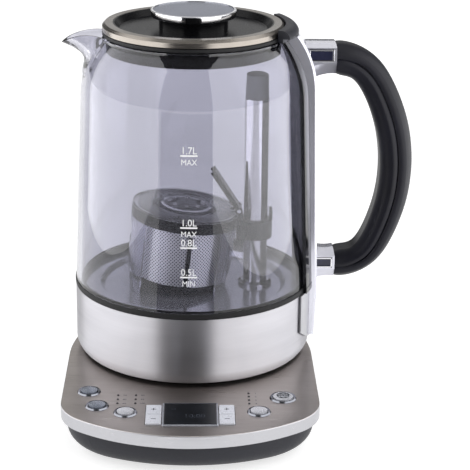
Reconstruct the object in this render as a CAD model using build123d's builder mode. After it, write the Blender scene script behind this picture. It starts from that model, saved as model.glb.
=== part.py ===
from build123d import *
import os
from math import atan, atan2, cos, degrees, hypot, radians, sin, sqrt, tan

# Automatic tea maker: a glass jug with a steel band, a lifting infuser basket on a
# post, a looped handle, and a powered base with its controls on the front.
# Millimetres. +Z is up, +X points to the handle, -Y to the controls, and the origin
# lies on the jug's axis where the feet meet the table.

os.makedirs("parts", exist_ok=True)

# Clearances and working gaps
touch_gap = 0.3            # between faces that seat on each other across a joint
slide_gap = 0.35           # sliding collar and lid skirt
button_gap = 0.3           # round a button in its bezel
running_gap = 0.05         # screw in its nut

# Base: outline of the top plate
base_half_width = 79.0
base_centre_x = -1.3       # centreline, a little away from the handle
base_front = 144.3         # jug axis to the front edge
base_corner_y = 110.0      # where the straight sides meet the front arc
base_side_start = 20.0     # where the straight sides meet the rear curve
base_rear_depth = 100.0    # depth of the rear half ellipse
base_corner_radius = 34.0

# Base: heights and walls
plate_top = 28.0
plate_height = 8.0
plate_thickness = 1.2
plate_edge_radius = 0.7
housing_inset = 3.5        # housing stands back from the plate's edge
housing_undercut = 15.0    # how far the housing curves in at the bottom
housing_flank = 4.0        # height of its straight flank under the plate
housing_wall = 2.4
foot_height = 1.8
foot_ring_radius = 58.0
foot_ring_width = 7.0
foot_pad_radius = 7.0
foot_pad_x = 40.0
foot_pad_y = 99.0
frame_thickness = 2.0      # moulded frame under the steel plate
frame_rim_clearance = 0.4
screw_head_radius = 3.2
screw_head_height = 2.0
screw_shank_radius = 1.5
screw_front_x = 20.0
screw_front_y = 84.0
screw_rear_x = 34.0
screw_rear_y = 26.0
boss_radius = 4.0
gland_radius = 4.6
gland_flange_radius = 6.0
gland_setback = 8.4        # housing's rear face to the gland's flange
gland_flange_thickness = 1.5
gland_bore_radius = 3.2
gland_height = 12.5

# Controls
round_bezel_radius = 7.3
start_bezel_radius = 8.3
bezel_width = 1.9          # width of the polished ring
bezel_height = 0.9         # above the plate
bezel_neck_wall = 1.0
cap_height = 1.9           # button crown above the plate
cap_crown = 0.6
button_body = 6.0          # height of a button below the plate's top
button_travel = 0.8
temperature_button_xy = (-63.8, -81.0)
warm_button_xy = (-57.9, -102.0)
select_button_xy = (-40.4, -111.4)
brew_button_xy = (40.0, -110.4)
start_button_xy = (55.5, -90.2)
display_x = -1.4
display_y = -115.6
display_width = 30.8
display_depth = 27.4
display_border = 1.4
display_lip = 2.6          # wider border behind the window
window_thickness = 1.6
key_width = 9.4
key_depth = 12.8
key_split = 0.6
key_height = 1.1
key_offset = 22.0          # display centre to a key's centre
board_thickness = 1.6
board_top = 17.0
board_half_width = 66.0
board_back_y = -72.0
board_front_y = -131.0
switch_radius = 2.6
lamp_radius = 0.75
lamp_height = 0.35
left_lamp_x = (-45.7, -34.8)
left_lamp_y = (-86.6, -92.5, -98.3)
right_lamp_x = 34.5
right_lamp_y = (-83.7, -88.6, -93.6, -98.7)

# Power connector between base and jug
hub_radius = 19.0
hub_ring_radius = 27.0
hub_ring_thickness = 0.4
hub_height = 10.0          # above the plate
hub_groove_depth = 5.0
contact_radii = (8.0, 13.5)
contact_width = 1.6
contact_height = 3.5
socket_wall = 3.0
socket_gap = 1.2
socket_floor = 3.0

# Jug: steel band, floor and seal
band_radius = 76.2
band_bottom = 30.0
band_top = 73.4
band_tuck_height = 8.5     # lower stretch that curves in
band_tuck = 3.5
band_thickness = 1.0
cover_thickness = 2.4
cover_bottom = 28.5
floor_radius = 58.0
floor_top = 70.4
floor_step = 3.0
floor_thickness = 1.2
seal_height = 4.0
seal_lip = 0.3             # seal stands proud of the band
seal_width = 6.0
heater_radius = 50.0
heater_thickness = 3.0
heater_coil_radius = 30.0
heater_tube_radius = 3.2

# Jug: glass
glass_foot_step = 0.2      # glass stands this far inside the band's face
glass_wall = 3.2
shoulder_step = 4.8        # how much narrower the shoulder is than the glass's foot
shoulder_height = 199.0
shoulder_arc = 60.0
shoulder_turn = 36.0
rim_top = 235.3
spout_reach = 11.0         # how far the lip's tip stands out from the shoulder
spout_tip_drop = 5.3       # tip below the rim
spout_length = 28.0        # height over which the ridge runs into the shoulder
spout_crest_rise = 0.7     # lip rises this far above the rim on its way to the lid
spout_half_angle = 27.0
spout_sink = 0.6           # flank edges lie this far inside the glass's outer face
spout_profile = (          # shares of the length and of the reach, and the flanks' bulge
    (0.0, -0.236, 0.155),
    (0.179, -0.145, 0.164),
    (0.357, -0.109, 0.164),
    (0.536, -0.2, 0.145),
    (0.679, -0.209, 0.082),
    (0.804, 0.027, -0.036),
    (0.904, 0.436, -0.164),
    (1.0, 1.0, -0.273),
    (1.125, 1.573, -0.364),
    (1.268, 2.073, -0.418),
)

# Handle frame and grip
saddle_thickness = 2.2
saddle_half_angle = 23.0
foot_half_angle = 27.0
foot_cover_thickness = 1.1
spine_half_width = 19.0
spine_stand_bottom = 3.9   # its outer face from the band's, where the glass begins
spine_stand_top = 5.7      # from the glass's shoulder
spine_stand_foot = 2.3     # from the band's face, at its lower end
spine_arc_rise = 5.0       # its bend begins this far above the glass's shoulder
spine_arc = 60.0
spine_arc_turn = 34.7
spine_bottom = 38.0
spine_end_radius = 59.0    # rounded lower end
spine_chamfer = 1.4
upper_arm_reach = 12.8     # from the band's face to the grip
lower_arm_reach = 15.3
grip_drop = 13.8           # middle of the grip's upper end below the jug's rim
grip_top_depth = 18.4
grip_side_depth = 20.8     # halfway down
grip_foot_depth = 16.4
grip_width = 27.0
grip_top_arc = 28.6
grip_top_turn = 58.4
grip_side_arc = 108.6
grip_foot_arc = 25.3
grip_foot_turn = 61.3
grip_section_count = 13
grip_seam = 0.5
grip_seam_share = 0.56     # depth of the grip on the inner side of the seam
arm_roof_width = 8.0
arm_roof_drop = 0.9
arm_chamfer = 6.5          # width of the slope under an arm
arm_chamfer_share = 0.43   # and its part of the arm's height
arm_root_depth = 6.2       # arms start this far inside the band's face
arm_waist = 4.3            # outside it, they start to spread towards the spine
arm_flare = 6.0
arm_panel_recess = 0.7
arm_panel_border = 1.4
cap_half_angle = 27.0
cap_crown_width = 4.2
cap_edge_height = 1.0
cap_crown_height = 3.4
handle_screw_radius = 2.0
handle_screw_length = 20.0
handle_screw_bite = 8.0    # length inside the grip

# Post with its screw drive
post_x = 40.5
post_radius = 7.75
post_wall = 0.7
post_top = 194.5
post_cap_height = 16.0
post_cap_taper = 0.5
post_cap_wall = 1.6
post_foot_radius = 11.0
post_foot_height = 3.4
lead_screw_radius = 2.0
carriage_height = 9.0
motor_radius = 12.0
motor_height = 19.0
motor_boss_height = 3.0

# Basket
basket_tilt = 6.5
basket_x = -4.7
basket_rim_z = 122.0
basket_radius = 34.6
basket_ring_wall = 3.0
basket_ring_height = 6.9
basket_depth = 46.5
basket_taper = 1.7
mesh_thickness = 0.6
mesh_gap = 0.3
mesh_flange = 2.2
panel_half_width = 23.4    # where each side panel's edge lies
panel_arch_radius = 14.0
panel_foot_reach = 12.0    # panels run this far below the cup before the floor trims them
foot_clearance = 0.5
basket_base_height = 1.4
basket_base_width = 7.0
collar_bottom = 102.8
collar_top = 114.5
collar_wall = 2.6
collar_magnet_height = 6.0
collar_magnet_wall = 1.0
collar_tab_height = 7.0
collar_tab_width = 8.0
collar_tab_thickness = 2.0

# Basket lid
lid_edge_thickness = 1.4
lid_dome = 3.2
lid_well_radius = 14.0
lid_well_depth = 2.2
lid_hole_radius = 1.6
lid_hole_circle = 10.6
lid_hole_count = 8
hinge_x = 29.6
hinge_z = 121.3
hinge_pin_radius = 1.2
hinge_barrel_radius = 2.3
hinge_barrel_width = 8.0
hinge_ear_width = 2.4
tab_width = 13.0
tab_length = 31.0
tab_thickness = 3.2
tab_web = 1.6              # blade between its edge ribs
tab_rib = 2.0
tab_lean = 33.0            # from upright, towards the jug's axis

# Jug lid
lid_ring_inset = 1.4       # ring's edge inside the outer face of the jug's mouth
lid_ring_stand = 3.1       # ring's lower edge above the jug's rim
lid_ring_height = 4.8
lid_ring_width = 6.6
lid_ring_bevel = 1.8
lid_ring_thickness = 0.9
lid_skirt_gap = 0.9        # between the skirt and the inside of the jug's mouth
lid_skirt_drop = 10.3      # below the jug's rim
lid_skirt_wall = 2.6
lid_floor_thickness = 2.4
lid_cover_thickness = 1.5
lid_flange_height = 2.4     # gasket between the glass rim and the lid's flange
dish_depth = 3.8
dish_flare = 4.2
pillar_radius = 21.7
knob_radius = 26.7
knob_rim_height = 4.3
knob_rim_wall = 1.4
knob_stand = 8.0           # top of the knob above the lid's ring
knob_recess = 0.35
notch_width = 10.0
notch_height = 3.6
disc_thickness = 1.2
lid_fit = 0.1              # between the lid's own pieces


def save(label, builder):
    """Names a finished piece and writes its file."""
    builder.part.label = label
    export_step(builder.part, f"parts/{label}.step")


# ---------------------------------------------------------------- base

plate_bottom = plate_top - plate_height
skin_bottom = plate_top - plate_thickness
frame_bottom = skin_bottom - frame_thickness
housing_top = plate_bottom
housing_bottom = foot_height


def base_outline(inset, height):
    """The base's plan outline, drawn in by inset, as a face at a height."""
    half = base_half_width - inset
    front = -(base_front - inset)
    with BuildSketch(Plane.XY.offset(height)) as outline:
        with BuildLine():
            Line((-half, -base_side_start), (-half, -base_corner_y))
            ThreePointArc((-half, -base_corner_y), (0, front), (half, -base_corner_y))
            Line((half, -base_corner_y), (half, -base_side_start))
            EllipticalCenterArc((0, -base_side_start), half, base_rear_depth - inset, 0, arc_size=180)
        make_face()
        fillet([v for v in outline.vertices() if abs(v.Y + base_corner_y) < 0.01], base_corner_radius)
    return outline.sketch.moved(Location((base_centre_x, 0, 0)))


def housing_sections(wall):
    """Stacked outlines of the undercut housing, drawn in by the wall."""
    curve_height = housing_top - housing_flank - housing_bottom
    inset = housing_inset + wall
    sections = [base_outline(inset, housing_top), base_outline(inset, housing_top - housing_flank)]
    for angle in (30, 55, 75, 90):
        drop = curve_height * sin(radians(angle))
        pull = housing_undercut * (1 - cos(radians(angle)))
        lift = wall * drop / curve_height
        sections.append(base_outline(inset + pull, housing_top - housing_flank - drop + lift))
    return sections


foot_pads = [(-foot_pad_x, -foot_pad_y), (foot_pad_x, -foot_pad_y)]
front_screws = [(-screw_front_x, -screw_front_y), (screw_front_x, -screw_front_y)]
screw_places = front_screws + [(-screw_rear_x, screw_rear_y), (screw_rear_x, screw_rear_y)]
button_places = {
    "temperature_button": (temperature_button_xy, round_bezel_radius),
    "warm_button": (warm_button_xy, round_bezel_radius),
    "select_button": (select_button_xy, round_bezel_radius),
    "brew_button": (brew_button_xy, round_bezel_radius),
    "start_button": (start_button_xy, start_bezel_radius),
}
key_pitch = key_depth + key_split
key_places = {
    "hour_up_key": (display_x - key_offset, display_y + key_pitch / 2),
    "hour_down_key": (display_x - key_offset, display_y - key_pitch / 2),
    "heat_up_key": (display_x + key_offset, display_y + key_pitch / 2),
    "heat_down_key": (display_x + key_offset, display_y - key_pitch / 2),
}
lamp_places = [(x, y) for x in left_lamp_x for y in left_lamp_y]
lamp_places += [(right_lamp_x, y) for y in right_lamp_y]


def bezel_neck(radius):
    """Outer radius of a bezel's neck, which passes through the plate."""
    return radius - bezel_width + bezel_neck_wall


with BuildPart() as base_plate:
    extrude(base_outline(0, plate_bottom), amount=plate_height)
    fillet(base_plate.faces().sort_by(Axis.Z)[-1].edges(), plate_edge_radius)
    extrude(base_outline(plate_thickness, plate_bottom), amount=plate_height - plate_thickness,
            mode=Mode.SUBTRACT)
    with Locations((0, 0, skin_bottom)):
        Cylinder(hub_radius + touch_gap, plate_thickness, mode=Mode.SUBTRACT,
                 align=(Align.CENTER, Align.CENTER, Align.MIN))
    for (x, y), radius in button_places.values():
        with Locations((x, y, skin_bottom)):
            Cylinder(bezel_neck(radius), plate_thickness, mode=Mode.SUBTRACT,
                     align=(Align.CENTER, Align.CENTER, Align.MIN))
    with BuildSketch(Plane.XY.offset(skin_bottom)):
        for x, y in key_places.values():
            with Locations((x, y)):
                Rectangle(key_width + 2 * button_gap, key_depth + 2 * button_gap)
        with Locations((display_x, display_y)):
            Rectangle(display_width, display_depth)
        with Locations(*lamp_places):
            Circle(lamp_radius)
    extrude(amount=plate_thickness, mode=Mode.SUBTRACT)
save("base_plate", base_plate)

with BuildPart() as base_housing:
    loft(housing_sections(0))
    loft(housing_sections(housing_wall), mode=Mode.SUBTRACT)
    with Locations(*[(x, y, housing_bottom) for x, y in screw_places]):
        Cylinder(boss_radius, housing_wall + screw_head_height, align=(Align.CENTER, Align.CENTER, Align.MIN))
    with Locations(*[(x, y, housing_bottom) for x, y in screw_places]):
        Cylinder(screw_head_radius + touch_gap, screw_head_height, mode=Mode.SUBTRACT,
                 align=(Align.CENTER, Align.CENTER, Align.MIN))
        Cylinder(screw_shank_radius + touch_gap, housing_top, mode=Mode.SUBTRACT,
                 align=(Align.CENTER, Align.CENTER, Align.MIN))
    with BuildSketch(Plane.XZ.offset(-base_rear_depth)):
        with Locations((0, gland_height)):
            Circle(gland_radius)
    extrude(amount=base_rear_depth / 2, mode=Mode.SUBTRACT)
save("base_housing", base_housing)

housing_rear_y = base_rear_depth - base_side_start - housing_inset
with BuildPart() as cord_gland:
    with BuildSketch(Plane.XZ.offset(-housing_rear_y - housing_inset)):
        with Locations((0, gland_height)):
            Circle(gland_radius - touch_gap / 3)
            Circle(gland_bore_radius, mode=Mode.SUBTRACT)
    extrude(amount=housing_inset + gland_setback)
    with BuildSketch(Plane.XZ.offset(-housing_rear_y + gland_setback)):
        with Locations((0, gland_height)):
            Circle(gland_flange_radius)
            Circle(gland_bore_radius, mode=Mode.SUBTRACT)
    extrude(amount=gland_flange_thickness)
save("cord_gland", cord_gland)

frame_inset = plate_thickness + frame_rim_clearance
with BuildPart() as base_frame:
    extrude(base_outline(frame_inset, frame_bottom), amount=frame_thickness)
    extrude(base_outline(frame_inset, housing_top), amount=skin_bottom - housing_top)
    extrude(base_outline(frame_inset + housing_wall, housing_top), amount=frame_bottom - housing_top,
            mode=Mode.SUBTRACT)
    with Locations((0, 0, frame_bottom)):
        Cylinder(hub_radius + touch_gap, frame_thickness, mode=Mode.SUBTRACT,
                 align=(Align.CENTER, Align.CENTER, Align.MIN))
    for (x, y), radius in button_places.values():
        with Locations((x, y, frame_bottom)):
            Cylinder(bezel_neck(radius) + touch_gap, frame_thickness, mode=Mode.SUBTRACT,
                     align=(Align.CENTER, Align.CENTER, Align.MIN))
    with BuildSketch(Plane.XY.offset(frame_bottom)):
        for x, y in key_places.values():
            with Locations((x, y)):
                Rectangle(key_width + 4 * button_gap, key_depth + 4 * button_gap)
        with Locations((display_x, display_y)):
            Rectangle(display_width + 2 * touch_gap, display_depth + 2 * touch_gap)
        with Locations(*lamp_places):
            Circle(lamp_radius + touch_gap)
    extrude(amount=frame_thickness, mode=Mode.SUBTRACT)
    boss_bottom = housing_bottom + housing_wall + screw_head_height + touch_gap
    with Locations(*[(x, y, boss_bottom) for x, y in screw_places]):
        Cylinder(boss_radius, frame_bottom - boss_bottom, align=(Align.CENTER, Align.CENTER, Align.MIN))
        Cylinder(screw_shank_radius, 2 * boss_radius, mode=Mode.SUBTRACT,
                 align=(Align.CENTER, Align.CENTER, Align.MIN))
save("base_frame", base_frame)

with BuildPart() as base_screws:
    with Locations(*[(x, y, housing_bottom) for x, y in screw_places]):
        Cylinder(screw_head_radius, screw_head_height, align=(Align.CENTER, Align.CENTER, Align.MIN))
        Cylinder(screw_shank_radius, screw_head_height + housing_wall + 2 * boss_radius,
                 align=(Align.CENTER, Align.CENTER, Align.MIN))
save("base_screws", base_screws)

with BuildPart() as rubber_feet:
    Cylinder(foot_ring_radius, foot_height, align=(Align.CENTER, Align.CENTER, Align.MIN))
    Cylinder(foot_ring_radius - foot_ring_width, foot_height, mode=Mode.SUBTRACT,
             align=(Align.CENTER, Align.CENTER, Align.MIN))
    with Locations(*[(x, y, 0) for x, y in foot_pads]):
        Cylinder(foot_pad_radius, foot_height, align=(Align.CENTER, Align.CENTER, Align.MIN))
save("rubber_feet", rubber_feet)

# ---------------------------------------------------------------- controls

bezel_bottom = frame_bottom - touch_gap
with BuildPart() as button_bezels:
    for (x, y), radius in button_places.values():
        with BuildSketch(Plane.XZ) as section:
            with BuildLine():
                Polyline((radius - bezel_width, bezel_bottom), (bezel_neck(radius), bezel_bottom),
                         (bezel_neck(radius), plate_top), (radius, plate_top),
                         (radius - bezel_width / 3, plate_top + bezel_height),
                         (radius - bezel_width, plate_top + bezel_height / 2), close=True)
            make_face()
        ring = revolve(section.sketch, axis=Axis.Z, mode=Mode.PRIVATE)
        add(ring.moved(Location((x, y, 0))))
save("button_bezels", button_bezels)

for label, ((x, y), radius) in button_places.items():
    cap_radius = radius - bezel_width - button_gap
    crown_radius = (cap_radius ** 2 + cap_crown ** 2) / (2 * cap_crown)
    with BuildPart() as button:
        with Locations((x, y, plate_top - button_body)):
            Cylinder(cap_radius, button_body + cap_height, align=(Align.CENTER, Align.CENTER, Align.MIN))
        with Locations((x, y, plate_top + cap_height - crown_radius)):
            Sphere(crown_radius, mode=Mode.INTERSECT)
        chamfer(button.faces().sort_by(Axis.Z)[0].edges(), 1)
    save(label, button)

for label, (x, y) in key_places.items():
    with BuildPart() as key:
        with BuildSketch(Plane.XY.offset(plate_top - button_body)):
            with Locations((x, y)):
                RectangleRounded(key_width, key_depth, 0.8)
        extrude(amount=button_body + key_height)
        chamfer(key.faces().sort_by(Axis.Z)[-1].edges(), 0.35)
    save(label, key)

window_bottom = plate_top + bezel_height - window_thickness
border_y = display_lip - display_border
window_width = display_width - 2 * display_border
window_depth = display_depth - 2 * display_border
with BuildPart() as display_bezel:
    with BuildSketch(Plane.XY.offset(plate_top)):
        with Locations((display_x, display_y + border_y / 2)):
            RectangleRounded(display_width + 2 * display_border,
                             display_depth + display_border + display_lip, 0.8)
        with Locations((display_x, display_y)):
            Rectangle(window_width, window_depth, mode=Mode.SUBTRACT)
    extrude(amount=bezel_height)
    chamfer(display_bezel.faces().sort_by(Axis.Z)[-1].outer_wire().edges(), 0.3)
    with BuildSketch(Plane.XY.offset(frame_bottom)):
        with Locations((display_x, display_y)):
            Rectangle(display_width, display_depth)
            Rectangle(window_width, window_depth, mode=Mode.SUBTRACT)
    extrude(amount=plate_top - frame_bottom)
save("display_bezel", display_bezel)

with BuildPart() as display_window:
    with BuildSketch(Plane.XY.offset(window_bottom)):
        with Locations((display_x, display_y)):
            Rectangle(window_width, window_depth)
    extrude(amount=window_thickness - touch_gap)
save("display_window", display_window)

with BuildPart() as display_module:
    with BuildSketch(Plane.XY.offset(board_top)):
        with Locations((display_x, display_y)):
            Rectangle(window_width - 1, window_depth - 1)
    extrude(amount=window_bottom - board_top)
save("display_module", display_module)

with BuildPart() as control_board:
    with BuildSketch(Plane.XY.offset(board_top - board_thickness)):
        with BuildLine():
            Polyline((-board_half_width, board_back_y), (board_half_width, board_back_y),
                     (board_half_width, start_button_xy[1] - start_bezel_radius),
                     (0.6 * board_half_width, board_front_y), (-0.6 * board_half_width, board_front_y),
                     (-board_half_width, start_button_xy[1] - start_bezel_radius), close=True)
        make_face()
        with Locations(*front_screws):
            Circle(boss_radius + touch_gap, mode=Mode.SUBTRACT)
    extrude(amount=board_thickness)
save("control_board", control_board)

switch_top = plate_top - button_body - button_travel - 0.1
with BuildPart() as push_switches:
    switch_places = [xy for xy, _ in button_places.values()] + list(key_places.values())
    with Locations(*[(x, y, board_top) for x, y in switch_places]):
        Cylinder(switch_radius, switch_top - board_top, align=(Align.CENTER, Align.CENTER, Align.MIN))
save("push_switches", push_switches)

with BuildPart() as indicator_lamps:
    with Locations(*[(x, y, board_top) for x, y in lamp_places]):
        Cylinder(lamp_radius, plate_top + lamp_height - board_top,
                 align=(Align.CENTER, Align.CENTER, Align.MIN))
save("indicator_lamps", indicator_lamps)

# ---------------------------------------------------------------- power connector

hub_top = plate_top + hub_height
with BuildPart() as base_hub:
    with Locations((0, 0, frame_bottom)):
        Cylinder(hub_radius, hub_top - frame_bottom, align=(Align.CENTER, Align.CENTER, Align.MIN))
    fillet(base_hub.faces().sort_by(Axis.Z)[-1].edges(), 1.2)
    for radius in contact_radii:
        with BuildSketch(Plane.XY.offset(hub_top)):
            Circle(radius + contact_width)
            Circle(radius - contact_width, mode=Mode.SUBTRACT)
        extrude(amount=-hub_groove_depth, mode=Mode.SUBTRACT)
save("base_hub", base_hub)

with BuildPart() as hub_ring:
    with Locations((0, 0, plate_top)):
        Cylinder(hub_ring_radius, hub_ring_thickness, align=(Align.CENTER, Align.CENTER, Align.MIN))
        Cylinder(hub_radius, hub_ring_thickness, mode=Mode.SUBTRACT,
                 align=(Align.CENTER, Align.CENTER, Align.MIN))
save("hub_ring", hub_ring)

with BuildPart() as hub_contacts:
    for radius in contact_radii:
        with BuildSketch(Plane.XY.offset(hub_top - hub_groove_depth)):
            Circle(radius + contact_width / 2)
            Circle(radius - contact_width / 2, mode=Mode.SUBTRACT)
        extrude(amount=contact_height)
save("hub_contacts", hub_contacts)

socket_bottom = cover_bottom + hub_ring_thickness
socket_inner = hub_radius + socket_gap
socket_outer = socket_inner + socket_wall
socket_top = hub_top + socket_gap + socket_floor
with BuildPart() as jug_socket:
    with Locations((0, 0, socket_bottom)):
        Cylinder(socket_outer, socket_top - socket_bottom, align=(Align.CENTER, Align.CENTER, Align.MIN))
        Cylinder(socket_inner, socket_top - socket_bottom - socket_floor, mode=Mode.SUBTRACT,
                 align=(Align.CENTER, Align.CENTER, Align.MIN))
save("jug_socket", jug_socket)

# ---------------------------------------------------------------- glass jug

glass_bottom = band_top + seal_height
glass_foot_radius = band_radius - glass_foot_step
shoulder_radius = glass_foot_radius - shoulder_step
wall_lean = atan(shoulder_step / (shoulder_height - glass_bottom))
shoulder_draw = shoulder_arc * (cos(wall_lean) - cos(wall_lean + radians(shoulder_turn)))
mouth_radius = shoulder_radius - shoulder_draw
lid_ring_radius = mouth_radius - lid_ring_inset
lid_ring_bottom = rim_top + lid_ring_stand
lid_ring_top = lid_ring_bottom + lid_ring_height


def glass_region(offset):
    """Half section between the axis and the glass's outer face drawn in by offset."""
    foot = (glass_foot_radius - offset / cos(wall_lean), glass_bottom)
    shoulder = (shoulder_radius - offset * cos(wall_lean), shoulder_height - offset * sin(wall_lean))
    with BuildSketch(Plane.XZ) as region:
        with BuildLine():
            Line((0, glass_bottom), foot)
            Line(foot, shoulder)
            curve = JernArc(shoulder, (-sin(wall_lean), cos(wall_lean)), shoulder_arc - offset, shoulder_turn)
            mouth = Line(curve @ 1, ((curve @ 1).X, rim_top))
            Line(mouth @ 1, (0, rim_top))
            Line((0, rim_top), (0, glass_bottom))
        make_face()
    return region.sketch


def glass_outline(height):
    """Outer radius of the glass at any height, over the shoulder's arc too."""
    if height < shoulder_height:
        return shoulder_radius + (shoulder_height - height) * tan(wall_lean)
    centre_radius = shoulder_radius - shoulder_arc * cos(wall_lean)
    rise = height - shoulder_height + shoulder_arc * sin(wall_lean)
    return centre_radius + sqrt(shoulder_arc ** 2 - rise ** 2)


def spout_section(height, ridge, side, bulge):
    """Plan outline of the spout at a height, from inside the jug out to its ridge."""
    angle = radians(spout_half_angle)
    corner = (-side * cos(angle), side * sin(angle))
    chord = (corner[0] + ridge, corner[1])
    length = hypot(*chord)
    middle = ((corner[0] - ridge) / 2 - bulge * chord[1] / length,
              corner[1] / 2 + bulge * chord[0] / length)
    inside = -shoulder_radius / 2
    with BuildSketch(Plane.XY.offset(height)) as section:
        with BuildLine():
            Spline(corner, middle, (-ridge, 0), (middle[0], -middle[1]), (corner[0], -corner[1]))
            Polyline((corner[0], -corner[1]), (inside, -corner[1]), (inside, corner[1]), corner)
        make_face()
    return section.sketch


spout_tip_radius = shoulder_radius + spout_reach
spout_tip_height = rim_top - spout_tip_drop
spout_foot_height = spout_tip_height - spout_length
spout_stations = [(spout_foot_height + up * spout_length, shoulder_radius + out * spout_reach,
                   bulge * spout_reach) for up, out, bulge in spout_profile]


def spout_body(wall):
    """Solid spout drawn in by the wall, spreading from the shoulder up to its lip."""
    sections = []
    for index, (height, ridge, bulge) in enumerate(spout_stations):
        before = spout_stations[max(index - 1, 0)]
        after = spout_stations[min(index + 1, len(spout_stations) - 1)]
        slope = atan2(after[1] - before[1], after[0] - before[0])
        lifted = height + wall * sin(slope)
        side = glass_outline(min(lifted, rim_top)) - spout_sink - wall
        sections.append(spout_section(lifted, ridge - wall * cos(slope), side, bulge))
    return loft(sections, mode=Mode.PRIVATE)


with BuildPart() as glass_body:
    revolve(glass_region(0), axis=Axis.Z)
    add(spout_body(0))
    revolve(glass_region(glass_wall), axis=Axis.Z, mode=Mode.SUBTRACT)
    add(spout_body(glass_wall), mode=Mode.SUBTRACT)
    with BuildSketch(Plane.XZ):
        with BuildLine():
            lip = ThreePointArc((-spout_tip_radius, spout_tip_height),
                                (-(spout_tip_radius + 2 * lid_ring_radius) / 3, rim_top + spout_crest_rise),
                                (-lid_ring_radius, rim_top))
            Polyline(lip @ 1, (lid_ring_radius, rim_top), (lid_ring_radius, lid_ring_top),
                     (-2 * spout_tip_radius, lid_ring_top), (-2 * spout_tip_radius, spout_tip_height),
                     lip @ 0)
        make_face()
    extrude(amount=spout_tip_radius, both=True, mode=Mode.SUBTRACT)
    with Locations((0, 0, rim_top)):
        Cylinder(lid_ring_radius + touch_gap, spout_crest_rise + lid_ring_stand, mode=Mode.SUBTRACT,
                 align=(Align.CENTER, Align.CENTER, Align.MIN))
save("glass_body", glass_body)

with BuildPart() as glass_seal:
    with BuildSketch(Plane.XY.offset(band_top)):
        Circle(band_radius + seal_lip)
        Circle(band_radius + seal_lip - seal_width, mode=Mode.SUBTRACT)
    extrude(amount=seal_height)
    fillet(glass_seal.edges().filter_by(GeomType.CIRCLE).sort_by(SortBy.RADIUS)[-2:], 0.8)
save("glass_seal", glass_seal)


def band_region(offset):
    """Half section between the axis and the steel band's face drawn in by offset."""
    foot = band_radius - offset
    with BuildSketch(Plane.XZ) as region:
        with BuildLine():
            Line((0, band_bottom), (foot - band_tuck, band_bottom))
            ThreePointArc((foot - band_tuck, band_bottom),
                          (foot - 0.3 * band_tuck, band_bottom + 0.35 * band_tuck_height),
                          (foot, band_bottom + band_tuck_height))
            Line((foot, band_bottom + band_tuck_height), (foot, band_top))
            Line((foot, band_top), (0, band_top))
            Line((0, band_top), (0, band_bottom))
        make_face()
    return region.sketch


with BuildPart() as steel_band:
    revolve(band_region(0), axis=Axis.Z)
    revolve(band_region(band_thickness), axis=Axis.Z, mode=Mode.SUBTRACT)
save("steel_band", steel_band)

flange_top = band_top
with BuildPart() as floor_plate:
    with BuildSketch(Plane.XZ):
        with BuildLine():
            Polyline((0, floor_top - floor_thickness), (floor_radius, floor_top - floor_thickness),
                     (floor_radius + floor_step, flange_top - floor_thickness),
                     (band_radius - band_thickness - 0.1, flange_top - floor_thickness),
                     (band_radius - band_thickness - 0.1, flange_top),
                     (floor_radius + floor_step - floor_thickness / 2, flange_top),
                     (floor_radius - floor_thickness / 2, floor_top), (0, floor_top), close=True)
        make_face()
    revolve(axis=Axis.Z)
    with Locations((post_x, 0, floor_top)):
        Cylinder(post_radius, 3 * floor_thickness, mode=Mode.SUBTRACT)
save("floor_plate", floor_plate)

heater_top = floor_top - floor_thickness
with BuildPart() as heating_element:
    with Locations((0, 0, heater_top)):
        Cylinder(heater_radius, heater_thickness, align=(Align.CENTER, Align.CENTER, Align.MAX))
    with Locations((0, 0, heater_top - heater_thickness - heater_tube_radius / 2)):
        Torus(heater_coil_radius, heater_tube_radius)
    with Locations((post_x, 0, heater_top)):
        Cylinder(motor_radius + 1, 4 * heater_tube_radius, mode=Mode.SUBTRACT,
                 align=(Align.CENTER, Align.CENTER, Align.CENTER))
save("heating_element", heating_element)

with BuildPart() as bottom_cover:
    cover_radius = band_radius - band_thickness - band_tuck - 0.2
    with Locations((0, 0, cover_bottom)):
        Cylinder(cover_radius - 2, band_bottom - cover_bottom, align=(Align.CENTER, Align.CENTER, Align.MIN))
    with Locations((0, 0, band_bottom)):
        Cylinder(cover_radius, cover_thickness, align=(Align.CENTER, Align.CENTER, Align.MIN))
    with Locations((0, 0, cover_bottom)):
        Cylinder(hub_ring_radius + 1, hub_ring_thickness + touch_gap, mode=Mode.SUBTRACT,
                 align=(Align.CENTER, Align.CENTER, Align.MIN))
        Cylinder(socket_outer + touch_gap, 4 * cover_thickness, mode=Mode.SUBTRACT,
                 align=(Align.CENTER, Align.CENTER, Align.MIN))
    with Locations((post_x, 0, band_bottom + cover_thickness)):
        Cylinder(motor_radius, motor_boss_height, align=(Align.CENTER, Align.CENTER, Align.MIN))
save("bottom_cover", bottom_cover)

# ---------------------------------------------------------------- post and drive

motor_bottom = band_bottom + cover_thickness + motor_boss_height
motor_top = motor_bottom + motor_height
with BuildPart() as lift_motor:
    with Locations((post_x, 0, motor_bottom)):
        Cylinder(motor_radius, motor_height, align=(Align.CENTER, Align.CENTER, Align.MIN))
    with Locations((post_x, 0, motor_top)):
        Cylinder(motor_radius / 2, 2, align=(Align.CENTER, Align.CENTER, Align.MIN))
        Cylinder(lead_screw_radius + running_gap, 10, mode=Mode.SUBTRACT)
save("lift_motor", lift_motor)

with BuildPart() as post_tube:
    with Locations((post_x, 0, floor_top - floor_thickness)):
        Cylinder(post_radius, post_top - floor_top + floor_thickness,
                 align=(Align.CENTER, Align.CENTER, Align.MIN))
        Cylinder(post_radius - post_wall, post_top - floor_top + floor_thickness, mode=Mode.SUBTRACT,
                 align=(Align.CENTER, Align.CENTER, Align.MIN))
save("post_tube", post_tube)

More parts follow.
